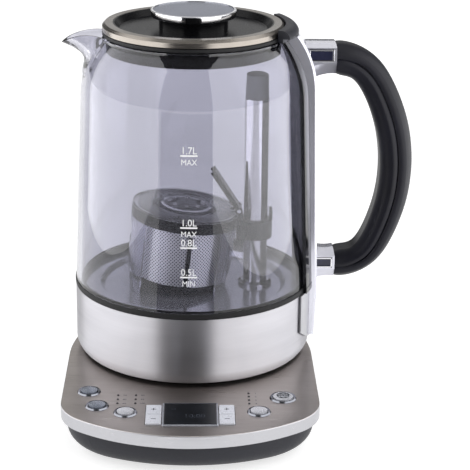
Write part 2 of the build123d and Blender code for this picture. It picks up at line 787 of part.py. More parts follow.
with BuildPart() as post_foot:
    with Locations((post_x, 0, floor_top)):
        Cylinder(post_foot_radius, post_foot_height, align=(Align.CENTER, Align.CENTER, Align.MIN))
    chamfer(post_foot.faces().sort_by(Axis.Z)[-1].edges(), 1.6)
    with Locations((post_x, 0, floor_top)):
        Cylinder(post_radius, post_foot_height, mode=Mode.SUBTRACT,
                 align=(Align.CENTER, Align.CENTER, Align.MIN))
save("post_foot", post_foot)

with BuildPart() as post_cap:
    with BuildSketch(Plane.XY.offset(post_top)):
        with Locations((post_x, 0)):
            Circle(post_radius - 0.3)
    extrude(amount=post_cap_height, taper=degrees(atan(post_cap_taper / post_cap_height)))
    fillet(post_cap.faces().sort_by(Axis.Z)[-1].edges(), 1.2)
    with Locations((post_x, 0, post_top)):
        Cylinder(post_radius - post_wall - post_cap_wall, post_cap_height - post_cap_wall, mode=Mode.SUBTRACT,
                 align=(Align.CENTER, Align.CENTER, Align.MIN))
save("post_cap", post_cap)

screw_top = post_top + post_cap_height / 2
with BuildPart() as lead_screw:
    with Locations((post_x, 0, motor_top - 3)):
        Cylinder(lead_screw_radius, screw_top - motor_top + 3, align=(Align.CENTER, Align.CENTER, Align.MIN))
save("lead_screw", lead_screw)

carriage_middle = (collar_bottom + collar_top) / 2
with BuildPart() as magnet_carriage:
    with Locations((post_x, 0, carriage_middle)):
        Cylinder(post_radius - post_wall - touch_gap, carriage_height)
        Cylinder(lead_screw_radius + running_gap, carriage_height, mode=Mode.SUBTRACT)
save("magnet_carriage", magnet_carriage)

# ---------------------------------------------------------------- infuser basket

tilt = radians(basket_tilt)
basket_plane = Plane(origin=(basket_x, 0, basket_rim_z), x_dir=(cos(tilt), 0, -sin(tilt)),
                     z_dir=(sin(tilt), 0, cos(tilt)))
basket_axis = Axis(origin=basket_plane.origin, direction=basket_plane.z_dir)
basket_section = Plane(origin=basket_plane.origin, x_dir=basket_plane.x_dir, z_dir=(0, -1, 0))
ring_inner = basket_radius - basket_ring_wall
mesh_top_radius = ring_inner - mesh_gap
mesh_foot_radius = mesh_top_radius - basket_taper
seat_radius = mesh_top_radius + mesh_flange
seat_depth = mesh_thickness + mesh_gap
collar_inner = post_radius + slide_gap
collar_outer = collar_inner + collar_wall
collar_height = collar_top - collar_bottom
taper_per_mm = basket_taper / basket_depth
ear_offset = (hinge_barrel_width + hinge_ear_width) / 2 + touch_gap
ear_places = (-ear_offset, ear_offset)


def basket_ring(points):
    """Ring about the basket's axis from (radius, height) points below its rim."""
    with BuildSketch(basket_section) as section:
        with BuildLine():
            Polyline(*points, close=True)
        make_face()
    return revolve(section.sketch, axis=basket_axis, mode=Mode.PRIVATE)


def hinge_cylinder(radius, width, offset=0.0):
    """Cylinder about the lid's hinge axis, centred at an offset along it."""
    with BuildSketch(Plane.XZ.offset(-offset - width / 2)) as disc:
        with Locations((hinge_x, hinge_z)):
            Circle(radius)
    return extrude(disc.sketch, amount=width, mode=Mode.PRIVATE)


with BuildPart() as basket_rim:
    add(basket_ring([(ring_inner, -basket_ring_height), (basket_radius, -basket_ring_height),
                     (basket_radius, 0), (seat_radius + mesh_gap, 0),
                     (seat_radius + mesh_gap, -seat_depth), (ring_inner, -seat_depth)]))
    with BuildSketch(Plane.XY.offset(collar_bottom)):
        with Locations((post_x, 0)):
            Circle(collar_outer)
        with Locations(((basket_x + basket_radius + post_x) / 2, 0)):
            Rectangle(post_x - basket_x - basket_radius + 4, 1.5 * collar_outer)
    extrude(amount=collar_height)
    with Locations((post_x + collar_outer - collar_tab_thickness / 2, 0, collar_top)):
        Box(collar_tab_thickness, collar_tab_width, collar_tab_height,
            align=(Align.CENTER, Align.CENTER, Align.MIN))
    with Locations(*[(hinge_x, y, hinge_z) for y in ear_places]):
        Box(2 * hinge_barrel_radius, hinge_ear_width, hinge_z - collar_top + collar_height / 4,
            align=(Align.CENTER, Align.CENTER, Align.MAX))
    for place in ear_places:
        add(hinge_cylinder(hinge_barrel_radius, hinge_ear_width, place))
    with Locations((post_x, 0, collar_bottom)):
        Cylinder(collar_inner, collar_height + 4 * collar_tab_height, mode=Mode.SUBTRACT,
                 align=(Align.CENTER, Align.CENTER, Align.MIN))
    add(basket_ring([(0, -basket_depth), (ring_inner, -basket_depth), (ring_inner, -seat_depth),
                     (seat_radius + mesh_gap, -seat_depth), (seat_radius + mesh_gap, 0), (0, 0)]),
        mode=Mode.SUBTRACT)
    with Locations((post_x, 0, carriage_middle)):
        Cylinder(collar_inner + collar_magnet_wall, collar_magnet_height, mode=Mode.SUBTRACT)
    add(hinge_cylinder(hinge_pin_radius + running_gap, 4 * hinge_barrel_width), mode=Mode.SUBTRACT)
save("basket_rim", basket_rim)

with BuildPart() as collar_magnet:
    with Locations((post_x, 0, carriage_middle)):
        Cylinder(collar_inner + collar_magnet_wall, collar_magnet_height)
        Cylinder(collar_inner, collar_magnet_height, mode=Mode.SUBTRACT)
save("collar_magnet", collar_magnet)

with BuildPart() as mesh_cup:
    flange = -seat_depth
    add(basket_ring([(0, -basket_depth), (mesh_foot_radius, -basket_depth), (mesh_top_radius, flange),
                     (seat_radius, flange), (seat_radius, -mesh_gap),
                     (mesh_top_radius - mesh_thickness, -mesh_gap),
                     (mesh_foot_radius - mesh_thickness, -basket_depth + mesh_thickness),
                     (0, -basket_depth + mesh_thickness)]))
save("mesh_cup", mesh_cup)

panel_bottom = -basket_depth - panel_foot_reach
panel_taper = taper_per_mm * (basket_ring_height + panel_bottom)
with BuildPart() as basket_panels:
    add(basket_ring([(ring_inner + panel_taper, panel_bottom), (basket_radius + panel_taper, panel_bottom),
                     (basket_radius, -basket_ring_height), (ring_inner, -basket_ring_height)]))
    with BuildSketch(basket_plane.offset(panel_bottom)):
        Rectangle(2 * panel_half_width, 3 * basket_radius)
    extrude(amount=-panel_bottom, mode=Mode.SUBTRACT)
    with BuildSketch(Plane.YZ.offset(-2 * basket_radius)):
        with Locations((0, floor_top)):
            Circle(panel_arch_radius)
        with Locations((0, floor_top + foot_clearance)):
            Rectangle(4 * basket_radius, 4 * basket_radius, align=(Align.CENTER, Align.MAX))
        with Locations((0, (collar_bottom + collar_top) / 2)):
            Rectangle(1.5 * collar_outer + 2 * touch_gap, collar_height + 2 * touch_gap)
    extrude(amount=4 * basket_radius, mode=Mode.SUBTRACT)
save("basket_panels", basket_panels)

with BuildPart() as basket_base:
    base_edge = mesh_foot_radius - mesh_gap
    add(basket_ring([(base_edge - basket_base_width, -basket_depth), (base_edge, -basket_depth),
                     (base_edge, -basket_depth - basket_base_height),
                     (base_edge - basket_base_width, -basket_depth - basket_base_height)]))
save("basket_base", basket_base)

# ---------------------------------------------------------------- basket lid

lid_edge = basket_radius - touch_gap
lid_low = touch_gap
lid_top = lid_low + lid_edge_thickness + lid_dome
well_top = lid_top - lid_well_depth
well_low = well_top - lid_edge_thickness
lid_crest = lid_well_radius + 1.0
lid_middle = (lid_edge + lid_crest) / 2

tab_direction = (-sin(radians(tab_lean)), 0, cos(radians(tab_lean)))
tab_plane = Plane(origin=(hinge_x, 0, hinge_z), x_dir=(0, 1, 0), z_dir=tab_direction)
tab_root = hinge_barrel_radius + running_gap

with BuildPart() as basket_lid:
    with BuildSketch(basket_section):
        with BuildLine():
            Polyline((lid_crest, well_low), (0, well_low), (0, well_top), (lid_well_radius, well_top),
                     (lid_crest, lid_top))
            ThreePointArc((lid_crest, lid_top), (lid_middle, lid_low + lid_edge_thickness + 0.75 * lid_dome),
                          (lid_edge, lid_low + lid_edge_thickness))
            Polyline((lid_edge, lid_low + lid_edge_thickness), (lid_edge, lid_low),
                     (lid_edge - lid_edge_thickness, lid_low))
            ThreePointArc((lid_edge - lid_edge_thickness, lid_low), (lid_middle, lid_low + 0.55 * lid_dome),
                          (lid_crest, well_low))
        make_face()
    revolve(axis=basket_axis)
    with BuildSketch(basket_plane):
        with PolarLocations(lid_hole_circle, lid_hole_count):
            Circle(lid_hole_radius)
    extrude(amount=3 * lid_dome, mode=Mode.SUBTRACT)
    knuckle_reach = 2 * hinge_barrel_radius + 1
    with Locations((hinge_x, 0, hinge_z)):
        Box(knuckle_reach, hinge_barrel_width, 2 * hinge_barrel_radius,
            align=(Align.MAX, Align.CENTER, Align.CENTER))
    add(hinge_cylinder(hinge_barrel_radius, hinge_barrel_width))
    for place in ear_places:
        with Locations((hinge_x, place, hinge_z)):
            Box(2 * hinge_barrel_radius + 2 * touch_gap + 1, hinge_ear_width + 2 * touch_gap,
                4 * hinge_barrel_radius, mode=Mode.SUBTRACT)
    with BuildSketch(tab_plane.offset(tab_root)):
        Rectangle(2 * tab_width, tab_thickness + 2 * running_gap)
    extrude(amount=tab_length, mode=Mode.SUBTRACT)
    add(hinge_cylinder(hinge_pin_radius + running_gap, 4 * hinge_barrel_width), mode=Mode.SUBTRACT)
save("basket_lid", basket_lid)

with BuildPart() as lid_hinge_pin:
    add(hinge_cylinder(hinge_pin_radius, 2 * ear_offset + hinge_ear_width))
save("lid_hinge_pin", lid_hinge_pin)

with BuildPart() as lid_tab:
    with BuildSketch(tab_plane.offset(tab_root)):
        Rectangle(tab_width, tab_thickness)
        with Locations((0, tab_web - tab_thickness / 2)):
            Rectangle(tab_width - 2 * tab_rib, tab_thickness, mode=Mode.SUBTRACT,
                      align=(Align.CENTER, Align.MIN))
    extrude(amount=tab_length - tab_root)
save("lid_tab", lid_tab)

# ---------------------------------------------------------------- handle

envelope_bottom = band_bottom / 2
saddle_gap = seal_lip + touch_gap


def envelope(offset, bottom):
    """Solid of the jug's outer form grown by offset, from the bottom height to the rim."""
    with BuildPart() as form:
        revolve(glass_region(-offset), axis=Axis.Z)
        with Locations((0, 0, bottom)):
            Cylinder(band_radius + offset, glass_bottom - bottom,
                     align=(Align.CENTER, Align.CENTER, Align.MIN))
    return form.part


def handle_wedge(half_angle, bottom, top):
    """Wedge about the jug's axis that opens towards the handle."""
    reach = 3 * band_radius
    spread = reach * sin(radians(half_angle))
    run = reach * cos(radians(half_angle))
    with BuildSketch(Plane.XY.offset(bottom)) as plan:
        with BuildLine():
            Polyline((0, 0), (run, -spread), (run, spread), close=True)
        make_face()
    return extrude(plan.sketch, amount=top - bottom, mode=Mode.PRIVATE)


def rounded_end(bottom):
    """Upright slab with a rounded lower end, wide enough for the handle's foot."""
    with BuildSketch(Plane.YZ) as shape:
        with Locations((0, bottom + spine_end_radius)):
            Circle(spine_end_radius)
        with Locations((0, bottom + spine_end_radius)):
            Rectangle(2 * spine_end_radius, rim_top, align=(Align.CENTER, Align.MIN))
    return extrude(shape.sketch, amount=2 * band_radius, mode=Mode.PRIVATE)


saddle_bottom = band_top + touch_gap
saddle_offset = saddle_gap + saddle_thickness
with BuildPart() as handle_saddle:
    add(envelope(saddle_offset, saddle_bottom))
    add(envelope(saddle_gap, saddle_bottom - 1), mode=Mode.SUBTRACT)
    add(handle_wedge(saddle_half_angle, saddle_bottom, rim_top), mode=Mode.INTERSECT)
save("handle_saddle", handle_saddle)

saddle_top_radius = mouth_radius + saddle_offset
foot_outer = band_radius + touch_gap + foot_cover_thickness
with BuildPart() as foot_cover:
    with BuildSketch(Plane.XY.offset(band_bottom)):
        Circle(foot_outer)
        Circle(band_radius + touch_gap, mode=Mode.SUBTRACT)
    extrude(amount=band_top - band_bottom)
    add(handle_wedge(foot_half_angle, band_bottom, band_top), mode=Mode.INTERSECT)
    add(rounded_end(spine_bottom - 1), mode=Mode.INTERSECT)
save("foot_cover", foot_cover)

spine_face_bottom = band_radius + spine_stand_bottom
spine_face_top = shoulder_radius + spine_stand_top
spine_face_foot = band_radius + spine_stand_foot
spine_arc_start = shoulder_height + spine_arc_rise
arm_root_x = band_radius - arm_root_depth
arm_waist_x = band_radius + arm_waist
grip_start_x = band_radius + upper_arm_reach
grip_end_x = band_radius + lower_arm_reach
grip_top_z = rim_top - grip_drop
with BuildLine(Plane.XZ) as grip_path:
    upper = JernArc((grip_start_x, grip_top_z), (1, 0), grip_top_arc, -grip_top_turn)
    middle = JernArc(upper @ 1, upper % 1, grip_side_arc, grip_top_turn + grip_foot_turn - 180)
    lower = JernArc(middle @ 1, middle % 1, grip_foot_arc, -grip_foot_turn)
    Line(lower @ 1, (grip_end_x, (lower @ 1).Z))
grip_wire = grip_path.wire()
grip_bottom_z = (grip_wire @ 1).Z
arm_ends = [(grip_start_x, grip_top_z, grip_top_depth), (grip_end_x, grip_bottom_z, grip_foot_depth)]
screw_shift = (1 - grip_seam_share) / 2     # screws pass through the middle of the grip's inner side
screw_ends = [(grip_start_x + handle_screw_bite, grip_top_z - screw_shift * grip_top_depth),
              (grip_end_x + handle_screw_bite, grip_bottom_z + screw_shift * grip_foot_depth)]


def arm_section(x, top, bottom):
    """Cross-section of an arm: a shallow roof, upright sides and sloping underside."""
    half = grip_width / 2
    slope = arm_chamfer_share * (top - bottom)
    right = [(arm_roof_width / 2, top), (half, top - arm_roof_drop), (half, bottom + slope),
             (half - arm_chamfer, bottom)]
    with BuildSketch(Plane.YZ.offset(x)) as section:
        with BuildLine():
            Polyline(*right, *[(-y, z) for y, z in reversed(right)], close=True)
        make_face()
    return section.sketch


def handle_arm(end_x, centre, height, top_flare):
    """Arm that spreads where it meets the spine, with a sunk panel on each side."""
    top = centre + height / 2
    bottom = centre - height / 2
    with BuildPart() as arm:
        loft([arm_section(arm_root_x, top + top_flare, bottom - arm_flare),
              arm_section(arm_waist_x, top, bottom - arm_flare / 8),
              arm_section(end_x, top, bottom)])
        panel_low = bottom + arm_chamfer_share * height + arm_panel_border / 2
        panel_high = top - arm_roof_drop - arm_panel_border / 2
        for side_sign in (-1, 1):
            with Locations((end_x - arm_panel_border, side_sign * grip_width / 2, panel_low)):
                Box(end_x - arm_root_x, 2 * arm_panel_recess, panel_high - panel_low, mode=Mode.SUBTRACT,
                    align=(Align.MAX, Align.CENTER, Align.MIN))
    return arm.part


with BuildPart() as handle_frame:
    with BuildSketch(Plane.XZ) as side:
        with BuildLine():
            Polyline((floor_radius, spine_bottom), (spine_face_foot, spine_bottom),
                     (spine_face_bottom, band_top), (spine_face_top, spine_arc_start))
            lean = atan2(spine_face_bottom - spine_face_top, spine_arc_start - band_top)
            crest = JernArc((spine_face_top, spine_arc_start), (-sin(lean), cos(lean)), spine_arc,
                            spine_arc_turn)
            Polyline(crest @ 1, (floor_radius, (crest @ 1).Y), (floor_radius, spine_bottom))
        make_face()
    extrude(amount=spine_half_width, both=True)
    face_edges = handle_frame.edges().filter_by_position(Axis.X, floor_radius + 1, 2 * band_radius)
    chamfer([edge for edge in face_edges if abs(abs(edge.center().Y) - spine_half_width) < 0.01
             and edge.center().Z > spine_bottom + 1 and edge.center().Z < (crest @ 1).Y - 1], spine_chamfer)
    for (end_x, centre, height), top_flare in zip(arm_ends, (0, arm_flare)):
        add(handle_arm(end_x, centre, height, top_flare))
    with Locations(*[Location((x, 0, z), (0, 90, 0)) for x, z in screw_ends]):
        Cylinder(handle_screw_radius + running_gap, handle_screw_length, mode=Mode.SUBTRACT,
                 align=(Align.CENTER, Align.CENTER, Align.MAX))
    add(envelope(saddle_offset + running_gap, saddle_bottom - touch_gap), mode=Mode.SUBTRACT)
    with Locations((0, 0, envelope_bottom)):
        Cylinder(foot_outer + running_gap, saddle_bottom - envelope_bottom, mode=Mode.SUBTRACT,
                 align=(Align.CENTER, Align.CENTER, Align.MIN))
    with Locations((0, 0, rim_top - touch_gap)):
        Cylinder(saddle_top_radius + running_gap, 2 * spine_half_width, mode=Mode.SUBTRACT,
                 align=(Align.CENTER, Align.CENTER, Align.MIN))
    add(rounded_end(spine_bottom), mode=Mode.INTERSECT)
save("handle_frame", handle_frame)

with BuildPart() as handle_screws:
    with Locations(*[Location((x, 0, z), (0, 90, 0)) for x, z in screw_ends]):
        Cylinder(handle_screw_radius, handle_screw_length, align=(Align.CENTER, Align.CENTER, Align.MAX))
save("handle_screws", handle_screws)


def grip_section(position, strip):
    """Half outline of the grip or its outer strip across the path, mirrored to a face."""
    half = grip_width / 2
    end_depth = grip_top_depth + (grip_foot_depth - grip_top_depth) * position
    swell = 4 * grip_side_depth - 2 * grip_top_depth - 2 * grip_foot_depth
    depth = end_depth + swell * position * (1 - position)
    seam = (grip_seam_share - 0.5) * depth
    across = Plane(origin=grip_wire @ position, x_dir=(0, 1, 0), z_dir=grip_wire % position)
    with BuildSketch(across) as section:
        with BuildLine():
            if strip:
                Polyline((0, depth / 2), (0, seam), (0.87 * half, seam))
                ThreePointArc((0.87 * half, seam), (0.92 * half, 0.19 * depth), (0.86 * half, 0.3 * depth))
                ThreePointArc((0.86 * half, 0.3 * depth), (0.6 * half, 0.43 * depth), (0, depth / 2))
            else:
                Line((0, -depth / 2), (0.33 * half, -depth / 2))
                ThreePointArc((0.33 * half, -depth / 2), (0.78 * half, -0.4 * depth),
                              (0.97 * half, -0.18 * depth))
                ThreePointArc((0.97 * half, -0.18 * depth), (0.98 * half, -0.06 * depth),
                              (0.87 * half, seam - grip_seam))
                Polyline((0.87 * half, seam - grip_seam), (0.7 * half, seam - grip_seam),
                         (0.7 * half, seam + grip_seam), (0, seam + grip_seam), (0, -depth / 2))
        make_face()
        mirror(about=Plane.YZ)
    return section.sketch.face()


def grip_body(strip):
    """Carries the changing cross-section along the grip's path."""
    steps = grip_section_count - 1
    return loft([grip_section(index / steps, strip) for index in range(steps + 1)], mode=Mode.PRIVATE)


with BuildPart() as handle_grip:
    add(grip_body(False))
    add(grip_body(True), mode=Mode.SUBTRACT)
    with Locations(*[Location((x, 0, z), (0, 90, 0)) for x, z in screw_ends]):
        Cylinder(handle_screw_radius + running_gap, handle_screw_length, mode=Mode.SUBTRACT,
                 align=(Align.CENTER, Align.CENTER, Align.MAX))
save("handle_grip", handle_grip)

with BuildPart() as grip_strip:
    add(grip_body(True))
save("grip_strip", grip_strip)

cap_inner = lid_ring_radius + 2 * touch_gap
cap_outer = (crest @ 1).X + touch_gap
cap_step = (crest @ 1).Y + touch_gap
with BuildPart() as handle_cap:
    with BuildSketch(Plane.XZ):
        with BuildLine():
            Polyline((cap_inner, rim_top + touch_gap), (saddle_top_radius, rim_top + touch_gap),
                     (saddle_top_radius, cap_step), (cap_outer, cap_step),
                     (cap_outer, cap_step + cap_edge_height))
            ThreePointArc((cap_outer, cap_step + cap_edge_height),
                          (cap_outer - 0.35 * cap_crown_width, cap_step + cap_crown_height),
                          (cap_outer - cap_crown_width, lid_ring_top))
            Polyline((cap_outer - cap_crown_width, lid_ring_top), (cap_inner, lid_ring_top),
                     (cap_inner, rim_top + touch_gap))
        make_face()
    revolve(axis=Axis.Z)
    add(handle_wedge(cap_half_angle, rim_top, lid_ring_top + 1), mode=Mode.INTERSECT)
save("handle_cap", handle_cap)

# ---------------------------------------------------------------- jug lid

ring_outer_low = lid_ring_radius - lid_ring_thickness
bevel_top = lid_ring_top - lid_ring_bevel
dish_rim = lid_ring_radius - lid_ring_width
dish_floor = lid_ring_top - dish_depth
flange_low = rim_top + touch_gap + lid_flange_height
lid_skirt_radius = mouth_radius - glass_wall - lid_skirt_gap
lid_skirt_bottom = rim_top - lid_skirt_drop
knob_top = lid_ring_top + knob_stand

with BuildPart() as lid_ring:
    bevel_in = 0.4 * lid_ring_thickness
    with BuildSketch(Plane.XZ):
        with BuildLine():
            Polyline((lid_ring_radius, lid_ring_bottom), (lid_ring_radius, bevel_top),
                     (lid_ring_radius - lid_ring_bevel, lid_ring_top), (dish_rim, lid_ring_top),
                     (dish_rim, lid_ring_top - lid_ring_thickness),
                     (lid_ring_radius - lid_ring_bevel - bevel_in, lid_ring_top - lid_ring_thickness),
                     (ring_outer_low, bevel_top - bevel_in), (ring_outer_low, lid_ring_bottom), close=True)
        make_face()
    revolve(axis=Axis.Z)
save("lid_ring", lid_ring)

with BuildPart() as lid_body:
    inner = ring_outer_low - lid_fit
    skirt_inner = lid_skirt_radius - lid_skirt_wall
    under_ring = lid_ring_top - lid_ring_thickness - lid_fit
    with BuildSketch(Plane.XZ):
        with BuildLine():
            Polyline((0, dish_floor), (0, dish_floor - lid_floor_thickness),
                     (skirt_inner, dish_floor - lid_floor_thickness), (skirt_inner, lid_skirt_bottom),
                     (lid_skirt_radius, lid_skirt_bottom), (lid_skirt_radius, flange_low),
                     (inner, flange_low), (inner, bevel_top - bevel_in),
                     (lid_ring_radius - lid_ring_bevel - bevel_in - lid_fit, under_ring),
                     (dish_rim - lid_fit, under_ring), (dish_rim - lid_fit, lid_ring_top - lid_fit),
                     (dish_rim - 1, lid_ring_top - lid_fit), (dish_rim - dish_flare, dish_floor), close=True)
        make_face()
    revolve(axis=Axis.Z)
save("lid_body", lid_body)

with BuildPart() as lid_gasket:
    with BuildSketch(Plane.XZ):
        with BuildLine():
            Polyline((lid_skirt_radius + lid_fit, rim_top + touch_gap),
                     (lid_ring_radius - 0.6, rim_top + touch_gap), (lid_ring_radius, rim_top + 2 * touch_gap),
                     (lid_ring_radius, flange_low - touch_gap), (lid_ring_radius - 0.6, flange_low),
                     (lid_skirt_radius + lid_fit, flange_low), close=True)
        make_face()
    revolve(axis=Axis.Z)
save("lid_gasket", lid_gasket)

with BuildPart() as lid_cover:
    with Locations((0, 0, lid_skirt_bottom + lid_cover_thickness)):
        Cylinder(lid_skirt_radius - lid_skirt_wall - lid_fit, lid_cover_thickness)
save("lid_cover", lid_cover)

knob_bottom = knob_top - knob_rim_height
knob_inner = knob_radius - knob_rim_wall
with BuildPart() as knob_pillar:
    with Locations((0, 0, dish_floor)):
        Cylinder(pillar_radius, knob_bottom - dish_floor, align=(Align.CENTER, Align.CENTER, Align.MIN))
    with Locations((0, 0, knob_bottom)):
        Cylinder(knob_inner - lid_fit, knob_rim_height - knob_recess - disc_thickness,
                 align=(Align.CENTER, Align.CENTER, Align.MIN))
    with BuildSketch(Plane.XY.offset(knob_bottom)):
        Circle(knob_radius - knob_recess)
        Circle(knob_inner - lid_fit, mode=Mode.SUBTRACT)
        with Locations((0, -knob_radius)):
            Rectangle(notch_width - 2 * lid_fit, 2 * (knob_radius - pillar_radius), mode=Mode.INTERSECT)
    extrude(amount=notch_height - lid_fit)
save("knob_pillar", knob_pillar)

with BuildPart() as knob_rim:
    with BuildSketch(Plane.XY.offset(knob_bottom)):
        Circle(knob_radius)
        Circle(knob_inner, mode=Mode.SUBTRACT)
    extrude(amount=knob_rim_height)
    fillet(knob_rim.edges().filter_by(GeomType.CIRCLE).sort_by(SortBy.RADIUS)[-2:], 0.5)
    with Locations((0, -knob_radius, knob_bottom)):
        Box(notch_width, 4 * knob_rim_wall, notch_height, mode=Mode.SUBTRACT,
            align=(Align.CENTER, Align.CENTER, Align.MIN))
save("knob_rim", knob_rim)

with BuildPart() as knob_disc:
    with Locations((0, 0, knob_top - knob_recess)):
        Cylinder(knob_inner - lid_fit, disc_thickness, align=(Align.CENTER, Align.CENTER, Align.MAX))
save("knob_disc", knob_disc)
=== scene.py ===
import math

import bpy
from mathutils import Matrix, Vector


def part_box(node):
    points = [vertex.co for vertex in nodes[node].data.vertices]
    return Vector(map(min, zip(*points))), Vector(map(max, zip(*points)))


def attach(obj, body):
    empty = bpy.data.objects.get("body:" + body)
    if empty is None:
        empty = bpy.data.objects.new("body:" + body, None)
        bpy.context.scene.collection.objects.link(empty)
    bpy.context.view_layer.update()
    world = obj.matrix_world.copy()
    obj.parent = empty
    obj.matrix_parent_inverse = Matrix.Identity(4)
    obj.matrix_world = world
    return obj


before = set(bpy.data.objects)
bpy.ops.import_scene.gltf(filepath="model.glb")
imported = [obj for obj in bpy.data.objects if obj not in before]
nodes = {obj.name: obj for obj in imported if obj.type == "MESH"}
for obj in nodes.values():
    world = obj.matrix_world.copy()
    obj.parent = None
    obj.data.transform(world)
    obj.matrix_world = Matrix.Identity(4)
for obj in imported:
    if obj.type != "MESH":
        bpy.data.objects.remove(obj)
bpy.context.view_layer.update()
bpy.ops.object.select_all(action="DESELECT")
print("frame loaded:", len(nodes), "nodes")

mm = 0.001


def hexColour(text):
    # sRGB hex to the linear colour that shaders take
    def linear(value):
        return value / 12.92 if value <= 0.04045 else ((value + 0.055) / 1.055) ** 2.4
    return tuple(linear(int(text[place:place + 2], 16) / 255) for place in (0, 2, 4)) + (1.0,)


def addNode(tree, kind, settings=None, values=None, links=None):
    # adds a shader node, sets its options and sockets, and links other nodes' outputs to it
    node = tree.nodes.new(kind)
    for name, value in (settings or {}).items():
        setattr(node, name, value)
    for name, value in (values or {}).items():
        node.inputs[name].default_value = hexColour(value) if isinstance(value, str) else value
    for name, socket in (links or {}).items():
        tree.links.new(socket, node.inputs[name])
    return node


def newMaterial(name, values):
    # a Principled material with its constants on the shader's own sockets
    material = bpy.data.materials.new(name)
    material.use_nodes = True
    tree = material.node_tree
    shader = tree.nodes["Principled BSDF"]
    for socket, value in values.items():
        shader.inputs[socket].default_value = hexColour(value) if isinstance(value, str) else value
    return material, tree, shader


def dress(material, *names):
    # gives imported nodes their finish
    for name in names:
        slots = nodes[name].data.materials
        slots.clear()
        slots.append(material)


def grainField(tree, cell, detail=2.0):
    # noise whose cells measure the given millimetres along each axis
    place = addNode(tree, "ShaderNodeTexCoord")
    mapping = addNode(tree, "ShaderNodeMapping", {}, {"Scale": tuple(1 / (step * mm) for step in cell)},
                      {"Vector": place.outputs["Object"]})
    return addNode(tree, "ShaderNodeTexNoise", {}, {"Scale": 1.0, "Detail": detail},
                   {"Vector": mapping.outputs["Vector"]})


# the noise: parts of its range that are stretched to full, and the drift's detail;
# level: how squarely a face has to look up to count as level
contrast = {"grain": (0.3, 0.7), "drift": (0.35, 0.65), "driftDetail": 3.0, "level": (0.4, 0.9)}


def surfaceFinish(name, finish):
    # one finish: base sockets, grain in roughness and height, and slow drift in colour
    material, tree, shader = newMaterial(name, finish["sockets"])
    grain = grainField(tree, finish["grain"], finish.get("detail", 2.0))
    start, end = contrast["grain"]
    low, high = finish["roughness"]
    roughness = addNode(tree, "ShaderNodeMapRange", {},
                        {"From Min": start, "From Max": end, "To Min": low, "To Max": high},
                        {"Value": grain.outputs["Fac"]})
    tree.links.new(roughness.outputs["Result"], shader.inputs["Roughness"])
    bump = addNode(tree, "ShaderNodeBump", {}, {"Strength": finish["bump"], "Distance": finish["height"] * mm},
                   {"Height": grain.outputs["Fac"]})
    tree.links.new(bump.outputs["Normal"], shader.inputs["Normal"])
    drift = grainField(tree, finish["drift"], contrast["driftDetail"])
    start, end = contrast["drift"]
    spread = addNode(tree, "ShaderNodeMapRange", {}, {"From Min": start, "From Max": end},
                     {"Value": drift.outputs["Fac"]})
    colour = addNode(tree, "ShaderNodeMix", {"data_type": "RGBA"})
    colour.inputs[6].default_value, colour.inputs[7].default_value = map(hexColour, finish["colours"])
    tree.links.new(spread.outputs["Result"], colour.inputs[0])
    last = colour
    if "uprightPaintedLightColour" in finish:
        # painted shade by facing: upright faces get a lighter, neutral colour and level faces the darker, warmer
        # drift colours
        facing = addNode(tree, "ShaderNodeNewGeometry")
        upward = addNode(tree, "ShaderNodeSeparateXYZ", {}, {}, {"Vector": facing.outputs["True Normal"]})
        start, end = contrast["level"]
        flat = addNode(tree, "ShaderNodeMapRange", {}, {"From Min": start, "From Max": end},
                       {"Value": upward.outputs["Z"]})
        last = addNode(tree, "ShaderNodeMix", {"data_type": "RGBA"})
        last.inputs[6].default_value = hexColour(finish["uprightPaintedLightColour"])
        tree.links.new(flat.outputs["Result"], last.inputs[0])
        tree.links.new(colour.outputs[2], last.inputs[7])
    tree.links.new(last.outputs[2], shader.inputs["Base Color"])
    if "clearToLight" in finish:
        # lamps' light passes the clear wall instead of leaving what is behind it in the dark
        path = addNode(tree, "ShaderNodeLightPath")
        veil = addNode(tree, "ShaderNodeMapRange", {}, {"To Min": 1.0, "To Max": 1.0 - finish["clearToLight"]},
                       {"Value": path.outputs["Is Shadow Ray"]})
        tree.links.new(veil.outputs["Result"], shader.inputs["Alpha"])
    if "brushedAround" in finish:
        tangent = addNode(tree, "ShaderNodeTangent", {"direction_type": "RADIAL", "axis": finish["brushedAround"]})
        tree.links.new(tangent.outputs["Tangent"], shader.inputs["Tangent"])
    return material


# camera: focal length as a multiple of the sensor's width, turns in degrees
camera = {"place": (0, -1.015, 0.450), "tilt": 18.88, "pan": 1.54, "roll": 0.65,
          "focal": 1649 / 470, "sensor": 36, "farthest": 50}
cameraData = bpy.data.cameras.new("camera")
cameraData.lens = camera["focal"] * camera["sensor"]
cameraData.sensor_width = camera["sensor"]
cameraData.clip_end = camera["farthest"]
cameraObject = bpy.data.objects.new("camera", cameraData)
bpy.context.scene.collection.objects.link(cameraObject)
cameraObject.matrix_world = (
    Matrix.Translation(camera["place"])
    @ Matrix.Rotation(-math.radians(camera["pan"]), 4, "Z")
    @ Matrix.Rotation(math.radians(90 - camera["tilt"]), 4, "X")
    @ Matrix.Rotation(math.radians(camera["roll"]), 4, "Z")
)
bpy.context.scene.camera = cameraObject
bpy.context.scene.view_settings.view_transform = "Standard"
print("camera placed")

# stainless steel, brushed around the jug: level lines that stretch each light into an upright band
bandFinish = {"sockets": {"Metallic": 1.0, "Anisotropic": 0.95, "Anisotropic Rotation": 0.25},
              "colours": ("bbbabf", "c2c1c6"), "roughness": (0.40, 0.48), "grain": (60, 60, 0.8), "detail": 1.0,
              "bump": 0.04, "height": 0.02, "drift": (60, 60, 12), "brushedAround": "Z"}
bandSteel = surfaceFinish("brushedSteelBand", bandFinish)
